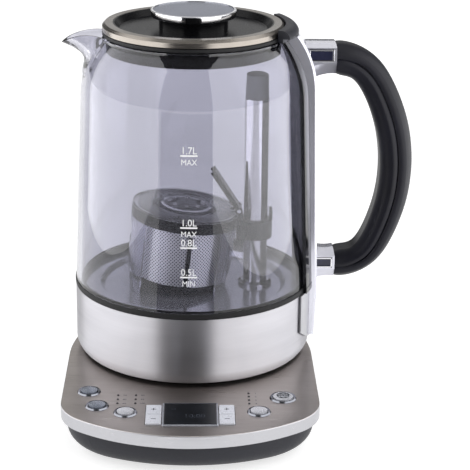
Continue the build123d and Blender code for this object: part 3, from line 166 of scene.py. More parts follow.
# stainless steel, brushed from side to side: a warm dull grey sheen; its upright faces are painted a lighter, neutral
# grey, a painted shade by facing
plateFinish = {"sockets": {"Metallic": 1.0, "Anisotropic": 0.5}, "colours": ("a8a19d", "b6afab"),
               "roughness": (0.26, 0.44), "uprightPaintedLightColour": "bcbcc0", "grain": (34, 1.0, 1.0), "detail": 4.0,
               "bump": 0.3, "height": 0.02, "drift": (90, 30, 30)}
plateSteel = surfaceFinish("brushedSteelPlate", plateFinish)
# drawn and polished steel: sharp upright reflections with faint draw lines
polishedFinish = {"sockets": {"Metallic": 1.0}, "colours": ("c9c8ca", "d2d1d3"), "roughness": (0.08, 0.16),
                  "grain": (0.8, 0.8, 60), "bump": 0.1, "height": 0.01, "drift": (20, 20, 60)}
polishedSteel = surfaceFinish("polishedSteel", polishedFinish)
# chrome plating on a moulding: mirror with the softest orange peel
chromeFinish = {"sockets": {"Metallic": 1.0}, "colours": ("d8d8dc", "dedee2"), "roughness": (0.04, 0.09),
                "grain": (6, 6, 6), "bump": 0.05, "height": 0.02, "drift": (40, 40, 40)}
chrome = surfaceFinish("chromePlate", chromeFinish)
# satin silver paint: light grey with a wide soft sheen
silverFinish = {"sockets": {"Metallic": 0.8}, "colours": ("b2b2b6", "bcbcc0"), "roughness": (0.28, 0.4),
                "grain": (0.4, 0.4, 0.4), "bump": 0.1, "height": 0.01, "drift": (15, 15, 15)}
silverPaint = surfaceFinish("satinSilverPaint", silverFinish)
# charcoal ABS with a spark-eroded texture: dark, with a fine matte grain
charcoalFinish = {"sockets": {"Specular IOR Level": 0.45}, "colours": ("191a22", "1f2029"), "roughness": (0.42, 0.58),
                  "grain": (0.6, 0.6, 0.6), "bump": 0.35, "height": 0.05, "drift": (50, 50, 20)}
charcoal = surfaceFinish("charcoalAbs", charcoalFinish)
# soft-touch moulded grip, almost black with a broad soft sheen
gripFinish = {"sockets": {"Specular IOR Level": 0.25}, "colours": ("0b0b14", "10101b"), "roughness": (0.36, 0.48),
              "grain": (0.5, 0.5, 0.5), "bump": 0.2, "height": 0.03, "drift": (30, 30, 30)}
gripPlastic = surfaceFinish("softTouchGrip", gripFinish)
# the softer mould of the grip's strip: a shade lighter and duller
stripFinish = {"sockets": {"Specular IOR Level": 0.25}, "colours": ("13131b", "181821"), "roughness": (0.40, 0.52),
               "grain": (0.5, 0.5, 0.5), "bump": 0.2, "height": 0.03, "drift": (30, 30, 30)}
stripPlastic = surfaceFinish("softTouchStrip", stripFinish)
# polished black ABS: dark, with small clear highlights
glossFinish = {"sockets": {"Specular IOR Level": 0.5}, "colours": ("0b0b0d", "101013"), "roughness": (0.10, 0.18),
               "grain": (3, 3, 3), "bump": 0.05, "height": 0.02, "drift": (30, 30, 30)}
blackGloss = surfaceFinish("glossBlackAbs", glossFinish)
# moulded black ABS, left matte: highlights spread wide and dim
matteFinish = {"sockets": {"Specular IOR Level": 0.4}, "colours": ("141417", "1a1a1d"), "roughness": (0.38, 0.52),
               "grain": (0.7, 0.7, 0.7), "bump": 0.2, "height": 0.03, "drift": (25, 25, 25)}
blackMatte = surfaceFinish("matteBlackAbs", matteFinish)
# black silicone rubber: dull and even, with hardly a highlight
rubberFinish = {"sockets": {"Specular IOR Level": 0.3}, "colours": ("121214", "19191b"), "roughness": (0.5, 0.65),
                "grain": (0.8, 0.8, 0.8), "bump": 0.2, "height": 0.03, "drift": (20, 20, 20)}
rubber = surfaceFinish("siliconeRubber", rubberFinish)
# moulded grey polypropylene: soft, even mid grey
greyFinish = {"sockets": {"Specular IOR Level": 0.4}, "colours": ("76777e", "7e7f86"), "roughness": (0.35, 0.5),
              "grain": (0.7, 0.7, 0.7), "bump": 0.2, "height": 0.03, "drift": (12, 12, 12)}
greyPlastic = surfaceFinish("greyPolypropylene", greyFinish)
# turned aluminium: pale metal with fine marks and a wide sheen
aluminiumFinish = {"sockets": {"Metallic": 1.0}, "colours": ("b9b9bd", "c3c3c7"), "roughness": (0.3, 0.45),
                   "grain": (0.8, 0.8, 8), "bump": 0.2, "height": 0.02, "drift": (15, 15, 15)}
aluminium = surfaceFinish("turnedAluminium", aluminiumFinish)
# dark ground steel: a dull grey sheen
darkSteelFinish = {"sockets": {"Metallic": 1.0}, "colours": ("55565a", "5f6064"), "roughness": (0.3, 0.42),
                   "grain": (5, 5, 0.6), "bump": 0.2, "height": 0.02, "drift": (15, 15, 15)}
darkSteel = surfaceFinish("darkSteel", darkSteelFinish)
# turned brass: warm yellow metal with a soft sheen
brassFinish = {"sockets": {"Metallic": 1.0}, "colours": ("b99a58", "c6a866"), "roughness": (0.25, 0.4),
               "grain": (4, 4, 0.5), "bump": 0.2, "height": 0.02, "drift": (8, 8, 8)}
brass = surfaceFinish("turnedBrass", brassFinish)
# solder mask on a circuit board: deep green, half glossy
boardFinish = {"sockets": {"Specular IOR Level": 0.5}, "colours": ("12452a", "17573a"), "roughness": (0.25, 0.4),
               "grain": (1.2, 1.2, 1.2), "bump": 0.2, "height": 0.03, "drift": (10, 10, 10)}
boardGreen = surfaceFinish("solderMask", boardFinish)
# white nylon: off-white and slightly waxy
nylonFinish = {"sockets": {"Subsurface Weight": 0.1}, "colours": ("dcdcd8", "e4e4e0"), "roughness": (0.4, 0.55),
               "grain": (0.8, 0.8, 0.8), "bump": 0.2, "height": 0.03, "drift": (10, 10, 10)}
nylon = surfaceFinish("whiteNylon", nylonFinish)
# metallic grey key paint: cool mid grey with a tight sheen
buttonGreyFinish = {"sockets": {"Metallic": 0.55}, "colours": ("7c828e", "858b97"), "roughness": (0.2, 0.3),
                    "grain": (0.6, 0.6, 0.6), "bump": 0.08, "height": 0.02, "drift": (6, 6, 6)}
buttonGrey = surfaceFinish("greyKeyPaint", buttonGreyFinish)
# metallic silver key paint: pale, with the same tight sheen
buttonSilverFinish = {"sockets": {"Metallic": 0.5}, "colours": ("c4c5cb", "cdced4"), "roughness": (0.2, 0.3),
                      "grain": (0.6, 0.6, 0.6), "bump": 0.08, "height": 0.02, "drift": (6, 6, 6)}
buttonSilver = surfaceFinish("silverKeyPaint", buttonSilverFinish)
# pale key paint: nearly white, with little metal in it
keyFinish = {"sockets": {"Metallic": 0.3}, "colours": ("cfd1da", "d6d8e0"), "roughness": (0.26, 0.34),
             "grain": (0.6, 0.6, 0.6), "bump": 0.02, "height": 0.02, "drift": (6, 6, 6)}
keyPaint = surfaceFinish("paleKeyPaint", keyFinish)
# paint of the display's frame: light silver grey with a tight sheen
bezelFinish = {"sockets": {"Metallic": 0.4}, "colours": ("a3a5ae", "adafb8"), "roughness": (0.2, 0.3),
               "grain": (0.6, 0.6, 0.6), "bump": 0.08, "height": 0.02, "drift": (8, 8, 8)}
bezelPaint = surfaceFinish("displayFramePaint", bezelFinish)
# blue-grey metallic paint: cool, with a soft sheen
knobFinish = {"sockets": {"Metallic": 0.7}, "colours": ("7d8190", "858998"), "roughness": (0.25, 0.38),
              "grain": (0.5, 0.5, 0.5), "bump": 0.15, "height": 0.02, "drift": (30, 30, 30)}
knobPaint = surfaceFinish("blueGreyPaint", knobFinish)
# smoked lens of an unlit lamp: near black and glossy
lampFinish = {"sockets": {"Specular IOR Level": 0.5}, "colours": ("1a1b1f", "222328"), "roughness": (0.12, 0.2),
              "grain": (0.5, 0.5, 0.5), "bump": 0.05, "height": 0.02, "drift": (3, 3, 3)}
lampLens = surfaceFinish("smokedLens", lampFinish)
# borosilicate glass: clear, with a cool grey tint and sharp reflections
glassFinish = {"sockets": {"Transmission Weight": 1.0, "IOR": 1.5, "Specular IOR Level": 0.75},
               "colours": ("c7c7d1", "c9c9d3"), "roughness": (0.0, 0.004),
               "grain": (70, 70, 110), "detail": 0.0, "bump": 0.0, "height": 0.2, "drift": (80, 80, 80),
               "clearToLight": 0.9}
jugGlass = surfaceFinish("borosilicateGlass", glassFinish)
# clear polycarbonate, with its index set below the real 1.58: seen mostly by its edges and highlights
clearFinish = {"sockets": {"Transmission Weight": 0.97, "IOR": 1.25, "Specular IOR Level": 0.6},
               "colours": ("f0f0f6", "f6f6fa"), "roughness": (0.0, 0.03),
               "grain": (7, 7, 7), "bump": 0.15, "height": 0.2, "drift": (20, 20, 20), "clearToLight": 0.95}
clearPlastic = surfaceFinish("clearPolycarbonate", clearFinish)
# frosted polypropylene: what is behind it shows through blurred and dimmed
smokyFinish = {"sockets": {"Transmission Weight": 0.9, "IOR": 1.45}, "colours": ("c4c4d2", "ccccda"),
               "roughness": (0.08, 0.16), "grain": (1, 1, 1), "bump": 0.15, "height": 0.05, "drift": (20, 20, 20),
               "clearToLight": 0.5}
smokyPlastic = surfaceFinish("frostedPolypropylene", smokyFinish)
# tinted display window: near black with clear reflections
windowFinish = {"sockets": {"Specular IOR Level": 0.4}, "colours": ("0c0e12", "14171d"),
                "roughness": (0.08, 0.14), "grain": (2, 2, 2), "bump": 0.02, "height": 0.01, "drift": (14, 10, 10)}
windowGlass = surfaceFinish("displayWindow", windowFinish)
dress(bandSteel, "steel_band")
# satin steel of the lid's ring, a little warmer
ringFinish = {"sockets": {"Metallic": 1.0, "Anisotropic": 0.5, "Anisotropic Rotation": 0.25},
              "colours": ("868079", "908a84"), "roughness": (0.24, 0.34), "grain": (30, 30, 0.6),
              "bump": 0.04, "height": 0.02, "drift": (40, 40, 40), "brushedAround": "Z"}
ringSteel = surfaceFinish("satinSteelRing", ringFinish)
dress(ringSteel, "lid_ring")
dress(plateSteel, "base_plate")
# satin steel floor of the jug, spun in rings
floorFinish = {"sockets": {"Metallic": 0.85, "Anisotropic": 0.3}, "colours": ("c8c8d0", "d4d4dc"),
               "roughness": (0.13, 0.22), "grain": (40, 40, 0.8), "bump": 0.05, "height": 0.02,
               "drift": (40, 40, 10), "brushedAround": "Z"}
floorSteel = surfaceFinish("spunSteelFloor", floorFinish)
dress(floorSteel, "floor_plate")
dress(polishedSteel, "post_tube", "post_foot", "base_screws", "lead_screw", "handle_screws", "lid_hinge_pin")
dress(chrome, "knob_rim")
# satin chrome of the handle's casting, soft enough to stay light where it mirrors the dark
castFinish = {"sockets": {"Metallic": 0.62}, "colours": ("d4d4de", "dcdce6"), "roughness": (0.08, 0.14),
              "grain": (6, 6, 6), "bump": 0.05, "height": 0.02, "drift": (40, 40, 40)}
castChrome = surfaceFinish("satinChromeCasting", castFinish)
dress(castChrome, "handle_frame")
# darker satin chrome of the rings round the buttons
bezelRingFinish = {"sockets": {"Metallic": 1.0}, "colours": ("85878f", "8f9199"), "roughness": (0.14, 0.22),
                   "grain": (1.5, 1.5, 1.5), "bump": 0.08, "height": 0.02, "drift": (8, 8, 8)}
darkChrome = surfaceFinish("satinChromeRings", bezelRingFinish)
dress(darkChrome, "button_bezels")
dress(silverPaint, "foot_cover")
dress(charcoal, "base_housing", "base_frame", "handle_cap")
dress(gripPlastic, "handle_grip")
dress(stripPlastic, "grip_strip")
dress(blackGloss, "base_hub", "handle_saddle", "knob_pillar")
# satin black ABS of the lid, the basket's carrier and the cup's trim: deep black with a soft sheen
satinFinish = {"sockets": {"Specular IOR Level": 0.14}, "colours": ("09090c", "0e0e12"), "roughness": (0.24, 0.36),
               "grain": (0.8, 0.8, 0.8), "bump": 0.1, "height": 0.03, "drift": (30, 30, 30)}
satinBlack = surfaceFinish("satinBlackAbs", satinFinish)
dress(satinBlack, "basket_rim", "basket_base", "lid_tab", "lid_body")
dress(blackMatte, "hub_ring", "jug_socket", "bottom_cover", "lid_cover", "display_module", "push_switches")
dress(rubber, "rubber_feet", "cord_gland", "glass_seal", "lid_gasket")
dress(greyPlastic, "post_cap")
dress(aluminium, "heating_element", "lift_motor")
dress(darkSteel, "collar_magnet")
dress(brass, "hub_contacts")
dress(boardGreen, "control_board")
dress(nylon, "magnet_carriage")
dress(buttonGrey, "temperature_button", "warm_button")
dress(buttonSilver, "select_button", "brew_button", "start_button")
dress(keyPaint, "hour_up_key", "hour_down_key", "heat_up_key", "heat_down_key")
dress(bezelPaint, "display_bezel")
dress(knobPaint, "knob_disc")
dress(lampLens, "indicator_lamps")
dress(jugGlass, "glass_body")
dress(clearPlastic, "basket_lid")
dress(smokyPlastic, "basket_panels")
dress(windowGlass, "display_window")

# perforated steel of the infuser cup: rows of fine holes set crosswise, drawn coarse enough to show, with the holes
# painted near black as painted shade of the cup's inside
meshCup = {"centre": -4.7, "pitch": 1.15, "radius": 31.0, "hole": 0.30, "edge": 0.25, "bright": "fbfbfd",
           "dark": "1c1c1e", "roughness": (0.42, 0.7), "bump": 0.2, "height": 0.05,
           "sockets": {"Metallic": 0.9, "Anisotropic": 0.9, "Anisotropic Rotation": 0.25}}
meshSteel, tree, shader = newMaterial("perforatedSteel", meshCup["sockets"])
around = addNode(tree, "ShaderNodeTangent", {"direction_type": "RADIAL", "axis": "Z"})
tree.links.new(around.outputs["Tangent"], shader.inputs["Tangent"])
place = addNode(tree, "ShaderNodeTexCoord")
split = addNode(tree, "ShaderNodeSeparateXYZ", {}, {}, {"Vector": place.outputs["Object"]})
across = addNode(tree, "ShaderNodeMath", {"operation": "SUBTRACT"}, {1: meshCup["centre"] * mm},
                 {0: split.outputs["X"]})
turn = addNode(tree, "ShaderNodeMath", {"operation": "ARCTAN2"}, {}, {0: split.outputs["Y"], 1: across.outputs[0]})
along = addNode(tree, "ShaderNodeMath", {"operation": "MULTIPLY"},
                {1: meshCup["radius"] * 2 * math.pi / meshCup["pitch"] / 2}, {0: turn.outputs[0]})
upward = addNode(tree, "ShaderNodeMath", {"operation": "MULTIPLY"}, {1: math.pi / (meshCup["pitch"] * mm)},
                 {0: split.outputs["Z"]})
waveOne = addNode(tree, "ShaderNodeMath", {"operation": "SINE"}, {}, {0: along.outputs[0]})
waveTwo = addNode(tree, "ShaderNodeMath", {"operation": "SINE"}, {}, {0: upward.outputs[0]})
product = addNode(tree, "ShaderNodeMath", {"operation": "MULTIPLY"}, {},
                  {0: waveOne.outputs[0], 1: waveTwo.outputs[0]})
holes = addNode(tree, "ShaderNodeMapRange", {},
                {"From Min": meshCup["hole"], "From Max": meshCup["hole"] + meshCup["edge"]},
                {"Value": product.outputs[0]})
# the holes are painted near black: painted shade of the cup's dark inside seen through them
meshSteelAndHoleShade = addNode(tree, "ShaderNodeMix", {"data_type": "RGBA"})
meshSteelAndHoleShade.inputs[6].default_value = hexColour(meshCup["bright"])
meshSteelAndHoleShade.inputs[7].default_value = hexColour(meshCup["dark"])
tree.links.new(holes.outputs["Result"], meshSteelAndHoleShade.inputs[0])
tree.links.new(meshSteelAndHoleShade.outputs[2], shader.inputs["Base Color"])
low, high = meshCup["roughness"]
meshRough = addNode(tree, "ShaderNodeMapRange", {}, {"To Min": low, "To Max": high},
                    {"Value": holes.outputs["Result"]})
tree.links.new(meshRough.outputs["Result"], shader.inputs["Roughness"])
meshBump = addNode(tree, "ShaderNodeBump", {"invert": True},
                   {"Strength": meshCup["bump"], "Distance": meshCup["height"] * mm},
                   {"Height": holes.outputs["Result"]})
tree.links.new(meshBump.outputs["Normal"], shader.inputs["Normal"])
dress(meshSteel, "mesh_cup")
print("packed nodes dressed")

# ink fired on the glass: solid flat white
inkFinish = {"sockets": {"Specular IOR Level": 0.3}, "colours": ("f2f2f4", "fafafc"), "roughness": (0.45, 0.6),
             "grain": (0.6, 0.6, 0.6), "bump": 0.1, "height": 0.01, "drift": (4, 4, 4)}
whiteInk = surfaceFinish("firedWhiteInk", inkFinish)
# ink printed on the plate: flat mid grey
greyInkFinish = {"sockets": {"Specular IOR Level": 0.3}, "colours": ("5b5c62", "66676d"), "roughness": (0.45, 0.6),
                 "grain": (0.6, 0.6, 0.6), "bump": 0.1, "height": 0.01, "drift": (4, 4, 4)}
greyInk = surfaceFinish("printedGreyInk", greyInkFinish)

# straight pieces that each curve of a letter is cut into
curveSteps = 4


def printedText(body, size, stretch, bold, thick):
    # flat text turned to a thin mesh about the origin, standing on its baseline
    bpy.ops.object.text_add(location=(0, 0, 0))
    text = bpy.context.object
    text.data.body = body
    text.data.size = size * mm
    text.data.align_x = "CENTER"
    text.data.offset = bold * mm
    text.data.extrude = thick * mm / 2
    text.data.resolution_u = curveSteps
    bpy.ops.object.convert(target="MESH")
    text.scale = (stretch, 1, 1)
    bpy.ops.object.transform_apply(location=False, rotation=False, scale=True)
    return text


def plainBar(width, height, thick, pieces=1):
    # thin flat bar, subdivided so that it can follow a curve
    bpy.ops.mesh.primitive_cube_add(size=1, location=(0, 0, 0))
    bar = bpy.context.object
    bar.scale = (width * mm, height * mm, thick * mm)
    bpy.ops.object.transform_apply(location=False, rotation=False, scale=True)
    bpy.ops.object.mode_set(mode="EDIT")
    bpy.ops.mesh.select_all(action="SELECT")
    bpy.ops.mesh.subdivide(number_cuts=pieces)
    bpy.ops.object.mode_set(mode="OBJECT")
    return bar


def rounded(part, width, segments):
    # rounds a part's sharp edges
    bevel = part.modifiers.new("round", "BEVEL")
    bevel.width, bevel.segments, bevel.limit_method = width * mm, segments, "ANGLE"
    bpy.context.view_layer.objects.active = part
    bpy.ops.object.modifier_apply(modifier="round")


def joined(name, parts, material, body):
    # joins parts to one named piece with its finish and its body
    bpy.ops.object.select_all(action="DESELECT")
    for part in parts:
        part.select_set(True)
    bpy.context.view_layer.objects.active = parts[0]
    if len(parts) > 1:
        bpy.ops.object.join()
    piece = bpy.context.object
    piece.name = name
    piece.data.name = name
    piece.data.materials.clear()
    piece.data.materials.append(material)
    bpy.ops.object.transform_apply(location=True, rotation=True, scale=True)
    bpy.ops.object.select_all(action="DESELECT")
    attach(piece, body)


# level marks, curved round the front of the glass
levelMarks = {"middle": -2.6, "stand": 0.05, "thick": 0.08, "bar": (10.4, 0.95), "barCuts": 8, "size": 6.2,
              "wordSize": 5.0, "stretch": 0.9, "bold": 0.0, "rise": 1.1, "drop": 5.7,
              "levels": ((176.9, "1.7L", "MAX"), (132.3, "1.0L", "MAX"), (119.7, "0.8L", ""), (101.0, "0.5L", "MIN"))}
glassWall = {"foot": (77.4, 76.0), "shoulder": (199.0, 71.2)}


def onGlass(part, height):
    # wraps a flat part round the glass at a height
    (footZ, footRadius), (topZ, topRadius) = glassWall["foot"], glassWall["shoulder"]
    for vertex in part.data.vertices:
        across, up, out = vertex.co
        level = height * mm + up
        radius = footRadius * mm + (level - footZ * mm) / (topZ - footZ) * (topRadius - footRadius)
        radius += levelMarks["stand"] * mm + out
        angle = (levelMarks["middle"] * mm + across) / radius
        vertex.co = (radius * math.sin(angle), -radius * math.cos(angle), level)
    return part


marks = []
for height, amount, limit in levelMarks["levels"]:
    marks.append(onGlass(plainBar(*levelMarks["bar"], levelMarks["thick"], levelMarks["barCuts"]), height))
    words = [(amount, levelMarks["rise"], levelMarks["size"])]
    words += [(limit, -levelMarks["drop"], levelMarks["wordSize"])] if limit else []
    for word, shift, size in words:
        text = printedText(word, size, levelMarks["stretch"], levelMarks["bold"], levelMarks["thick"])
        marks.append(onGlass(text, height + shift))
joined("level_marks", marks, whiteInk, "jug")
print("level marks printed")

# plain numbers beside the lamps on the plate
lampNumbers = {"top": 28.02, "thick": 0.05, "size": 2.3, "stretch": 1.0, "bold": 0.02, "shift": 4.2, "drop": 0.8,
               "left": ((-45.7, ("70", "80", "85")), (-34.8, ("90", "95", "100"))), "leftRows": (-86.6, -92.5, -98.3),
               "right": (34.5, ("1", "2", "3", "4")), "rightRows": (-83.7, -88.6, -93.6, -98.7)}
numbers = []
places = [(x, y, word) for x, words in lampNumbers["left"] for y, word in zip(lampNumbers["leftRows"], words)]
places += [(lampNumbers["right"][0], y, word) for y, word in zip(lampNumbers["rightRows"], lampNumbers["right"][1])]
for x, y, word in places:
    text = printedText(word, lampNumbers["size"], lampNumbers["stretch"], lampNumbers["bold"], lampNumbers["thick"])
    text.location = ((x + lampNumbers["shift"]) * mm, (y - lampNumbers["drop"]) * mm, lampNumbers["top"] * mm)
    numbers.append(text)
joined("lamp_numbers", numbers, greyInk, "base")

# display face laid over the frame's inner border, with faint figures under it
lcd = {"x": (-17.4, 14.6), "y": (-129.9, -100.1), "low": 28.62, "top": 29.0, "upright": 0.1, "round": 0.5,
       "roundSteps": 3, "edge": 0.12, "edgeSteps": 2}
bpy.ops.mesh.primitive_cube_add(size=1, location=(sum(lcd["x"]) / 2 * mm, sum(lcd["y"]) / 2 * mm,
                                                  (lcd["low"] + lcd["top"]) / 2 * mm))
face = bpy.context.object
face.scale = ((lcd["x"][1] - lcd["x"][0]) * mm, (lcd["y"][1] - lcd["y"][0]) * mm, (lcd["top"] - lcd["low"]) * mm)
bpy.ops.object.transform_apply(location=True, scale=True)
bpy.ops.object.mode_set(mode="EDIT")
bpy.ops.mesh.select_all(action="DESELECT")
bpy.ops.object.mode_set(mode="OBJECT")
for edge in face.data.edges:
    # only the upright corners are rounded in the first bevel
    ends = [face.data.vertices[index].co for index in edge.vertices]
    edge.select = abs(ends[0].z - ends[1].z) > lcd["upright"] * mm
bpy.ops.object.mode_set(mode="EDIT")
bpy.ops.mesh.bevel(offset=lcd["round"] * mm, segments=lcd["roundSteps"])
bpy.ops.object.mode_set(mode="OBJECT")
rounded(face, lcd["edge"], lcd["edgeSteps"])
joined("display_face", [face], windowGlass, "base")
figures = {"thick": 0.04, "top": 29.02, "stretch": 0.9, "bold": -0.02,
           "text": (("10:00", 6.5, 1.2, -120.5), ("95", 3.6, -11.5, -109.5))}
digits = []
for word, size, x, y in figures["text"]:
    text = printedText(word, size, figures["stretch"], figures["bold"], figures["thick"])
    text.location = (x * mm, y * mm, figures["top"] * mm)
    digits.append(text)
# dark grey print: faint on the display, plain on the pale keys
lcdInkFinish = {"sockets": {"Specular IOR Level": 0.5}, "colours": ("30343c", "3a3f48"), "roughness": (0.1, 0.2),
                "grain": (0.6, 0.6, 0.6), "bump": 0.05, "height": 0.01, "drift": (3, 3, 3)}
lcdInk = surfaceFinish("faintLcdSegments", lcdInkFinish)
joined("display_figures", digits, lcdInk, "base")

# ring with petals pressed in the start button's cap
ornament = {"centre": (55.5, -90.2), "top": 29.9, "ring": 3.7, "petalRing": 1.9, "petal": 1.0, "wire": 0.2,
            "petals": 6, "petalShape": (1.45, 0.6, 1), "sink": 0.05, "ringSides": 40, "petalSides": 24,
            "wireSides": 8}
bpy.ops.mesh.primitive_torus_add(major_segments=ornament["ringSides"], minor_segments=ornament["wireSides"],
                                 major_radius=ornament["ring"] * mm, minor_radius=ornament["wire"] * mm)
rings = [bpy.context.object]
bpy.ops.mesh.primitive_torus_add(major_segments=ornament["petalSides"], minor_segments=ornament["wireSides"],
                                 major_radius=ornament["petal"] * mm, minor_radius=ornament["wire"] * mm)
petal = bpy.context.object
bpy.ops.transform.resize(value=ornament["petalShape"])
bpy.ops.object.transform_apply(scale=True)
for index in range(ornament["petals"]):
    copy = bpy.data.objects.new("petal", petal.data.copy())
    bpy.context.scene.collection.objects.link(copy)
    copy.matrix_world = (Matrix.Rotation(2 * math.pi * index / ornament["petals"], 4, "Z")
                         @ Matrix.Translation((ornament["petalRing"] * mm, 0, 0)))
    rings.append(copy)
bpy.data.objects.remove(petal)
for ring in rings:
    ring.matrix_world = (Matrix.Translation((ornament["centre"][0] * mm, ornament["centre"][1] * mm,
                                             (ornament["top"] - ornament["sink"]) * mm)) @ ring.matrix_world)
joined("start_button_ornament", rings, lcdInk, "start_button_body")

# plus and minus signs on the four keys
keySigns = {"top": 29.13, "thick": 0.06, "long": 3.0, "wide": 0.55,
            "keys": (("hour_up_key", True), ("hour_down_key", False),
                     ("heat_up_key", True), ("heat_down_key", False))}
for key, plus in keySigns["keys"]:
    low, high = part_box(key)
    signs = [plainBar(keySigns["long"], keySigns["wide"], keySigns["thick"])]
    if plus:
        signs.append(plainBar(keySigns["wide"], keySigns["long"], keySigns["thick"]))
    for sign in signs:
        sign.location = ((low[0] + high[0]) / 2, (low[1] + high[1]) / 2, keySigns["top"] * mm)
    joined(key + "_sign", signs, lcdInk, key + "_body")
print("numbers and signs printed")

# black disc under the well of the basket's lid, a painted shade standing for the dark inside of the basket seen
# through the lid's opening, with bright studs in the lid's holes
lidCentre = {"centre": (-4.7, 0, 122.0), "lean": 6.5, "radius": 13.6, "low": 0.45, "thick": 0.6, "studRing": 10.6,
            "studRadius": 1.6, "studTop": 4.3, "studs": 8, "studRound": 0.6, "studSteps": 4, "studSides": 20,
            "sides": 64, "upper": 0.9, "rim": (1.2, -0.2), "step": (5.0, 0.25)}
lidPlace = (Matrix.Translation([value * mm for value in lidCentre["centre"]])
            @ Matrix.Rotation(math.radians(lidCentre["lean"]), 4, "Y"))
bpy.ops.mesh.primitive_cylinder_add(vertices=lidCentre["sides"], radius=lidCentre["radius"] * mm,
                                    depth=lidCentre["thick"] * mm,
                                    location=(0, 0, (lidCentre["low"] + lidCentre["thick"] / 2) * mm))
disc = bpy.context.object
bpy.ops.object.transform_apply(location=True)
bpy.ops.object.mode_set(mode="EDIT")
bpy.ops.mesh.select_all(action="DESELECT")
bpy.ops.object.mode_set(mode="OBJECT")
for face in disc.data.polygons:
    face.select = face.normal.z > lidCentre["upper"]
bpy.ops.object.mode_set(mode="EDIT")
for width, height in (lidCentre["rim"], lidCentre["step"]):
    bpy.ops.mesh.inset(thickness=width * mm, depth=height * mm)
bpy.ops.object.mode_set(mode="OBJECT")
disc.matrix_world = lidPlace
# the black disc is painted shade for the basket's dark inside
joined("lid_shade_disc", [disc], satinBlack, "basket_cover")
bpy.ops.mesh.primitive_cylinder_add(vertices=lidCentre["studSides"], radius=lidCentre["studRadius"] * mm,
                                    location=(0, 0, 0),
                                    depth=(lidCentre["studTop"] - lidCentre["low"] - lidCentre["thick"]) * mm)
stud = bpy.context.object
for vertex in stud.data.vertices:
    vertex.co.z += (lidCentre["studTop"] + lidCentre["low"] + lidCentre["thick"]) / 2 * mm
rounded(stud, lidCentre["studRound"], lidCentre["studSteps"])
studs = []
for index in range(lidCentre["studs"]):
    turn = 2 * math.pi * index / lidCentre["studs"]
    copy = bpy.data.objects.new("stud", stud.data.copy())
    bpy.context.scene.collection.objects.link(copy)
    copy.matrix_world = lidPlace @ Matrix.Translation((lidCentre["studRing"] * mm * math.cos(turn),
                                                       lidCentre["studRing"] * mm * math.sin(turn), 0))
    studs.append(copy)
bpy.data.objects.remove(stud)
joined("lid_studs", studs, polishedSteel, "basket_cover")
print("basket lid fitted")

# upright rib down the front of the cup, leaning with the basket
cupRib = {"wide": 2.6, "thick": 0.7, "z": (76.5, 112.0), "axis": ((71.0, -10.5), (122.0, -4.7)),
          "wall": ((75.0, 29.5), (122.0, 33.9)), "shift": 4.6, "cuts": 6, "round": 0.3, "roundSteps": 3}
rib = plainBar(cupRib["wide"], cupRib["z"][1] - cupRib["z"][0], cupRib["thick"], cupRib["cuts"])
rounded(rib, cupRib["round"], cupRib["roundSteps"])
(lowZ, lowX), (highZ, highX) = cupRib["axis"]
(footZ, footRadius), (topZ, topRadius) = cupRib["wall"]
for vertex in rib.data.vertices:
    across, up, out = vertex.co
    level = sum(cupRib["z"]) / 2 * mm + up
    middle = lowX * mm + (level - lowZ * mm) / (highZ - lowZ) * (highX - lowX)
    radius = footRadius * mm + (level - footZ * mm) / (topZ - footZ) * (topRadius - footRadius)
    vertex.co = (middle + cupRib["shift"] * mm + across, -radius - out, level)
joined("cup_rib", [rib], satinBlack, "basket")

# black ring round the cup's foot
cupFoot = {"radius": 30.4, "z": (-48.2, -44.2), "taper": 0.985, "edge": 0.6, "edgeSteps": 4, "sides": 96}
bpy.ops.mesh.primitive_cylinder_add(vertices=cupFoot["sides"], radius=cupFoot["radius"] * mm,
                                    location=(0, 0, sum(cupFoot["z"]) / 2 * mm),
                                    depth=(cupFoot["z"][1] - cupFoot["z"][0]) * mm)
foot = bpy.context.object
bpy.ops.object.transform_apply(location=True)
for vertex in foot.data.vertices:
    if vertex.co.z < sum(cupFoot["z"]) / 2 * mm:
        vertex.co.x *= cupFoot["taper"]
        vertex.co.y *= cupFoot["taper"]
rounded(foot, cupFoot["edge"], cupFoot["edgeSteps"])
foot.matrix_world = lidPlace
joined("cup_foot", [foot], satinBlack, "basket")

# chrome beads round the sunk windows of the handle's arms, and a dark glossy plate in each
armTrim = {"face": 13.5, "sunk": 12.8, "proud": 0.35, "bead": 1.1, "round": 0.3, "plate": 0.25, "plateRound": 0.08,
           "roundSteps": 3, "windows": ((71.5, 87.5, 220.95, 229.05), (77.0, 90.0, 85.3, 92.2))}
beads, plates = [], []
for left, right, bottom, top in armTrim["windows"]:
    wide, half = armTrim["bead"], armTrim["bead"] / 2
    bars = [(left, right, bottom, bottom + wide), (left, right, top - wide, top),
            (left, left + wide, bottom, top), (right - wide, right, bottom, top)]
    for side in (-1, 1):
        for x0, x1, z0, z1 in bars + [(left + half, right - half, bottom + half, top - half)]:
            isPlate = x0 != left and x1 != right
            outer = armTrim["sunk"] + armTrim["plate"] if isPlate else armTrim["face"] + armTrim["proud"]
            bar = plainBar(x1 - x0, outer - armTrim["sunk"], z1 - z0)
            rounded(bar, armTrim["plateRound" if isPlate else "round"], armTrim["roundSteps"])
            bar.location = ((x0 + x1) / 2 * mm, side * (outer + armTrim["sunk"]) / 2 * mm, (z0 + z1) / 2 * mm)
            (plates if isPlate else beads).append(bar)
joined("arm_beads", beads, chrome, "jug")
# dark blue gloss of the sunk plates: near black, slightly blue, with sharp highlights
armPlateFinish = {"sockets": {"Specular IOR Level": 0.5}, "colours": ("23253a", "2a2c42"), "roughness": (0.12, 0.2),
                  "grain": (1.5, 1.5, 1.5), "bump": 0.05, "height": 0.02, "drift": (6, 6, 6)}
armPlate = surfaceFinish("darkBlueGloss", armPlateFinish)
joined("arm_windows", plates, armPlate, "jug")
print("rib and arm trim fitted")
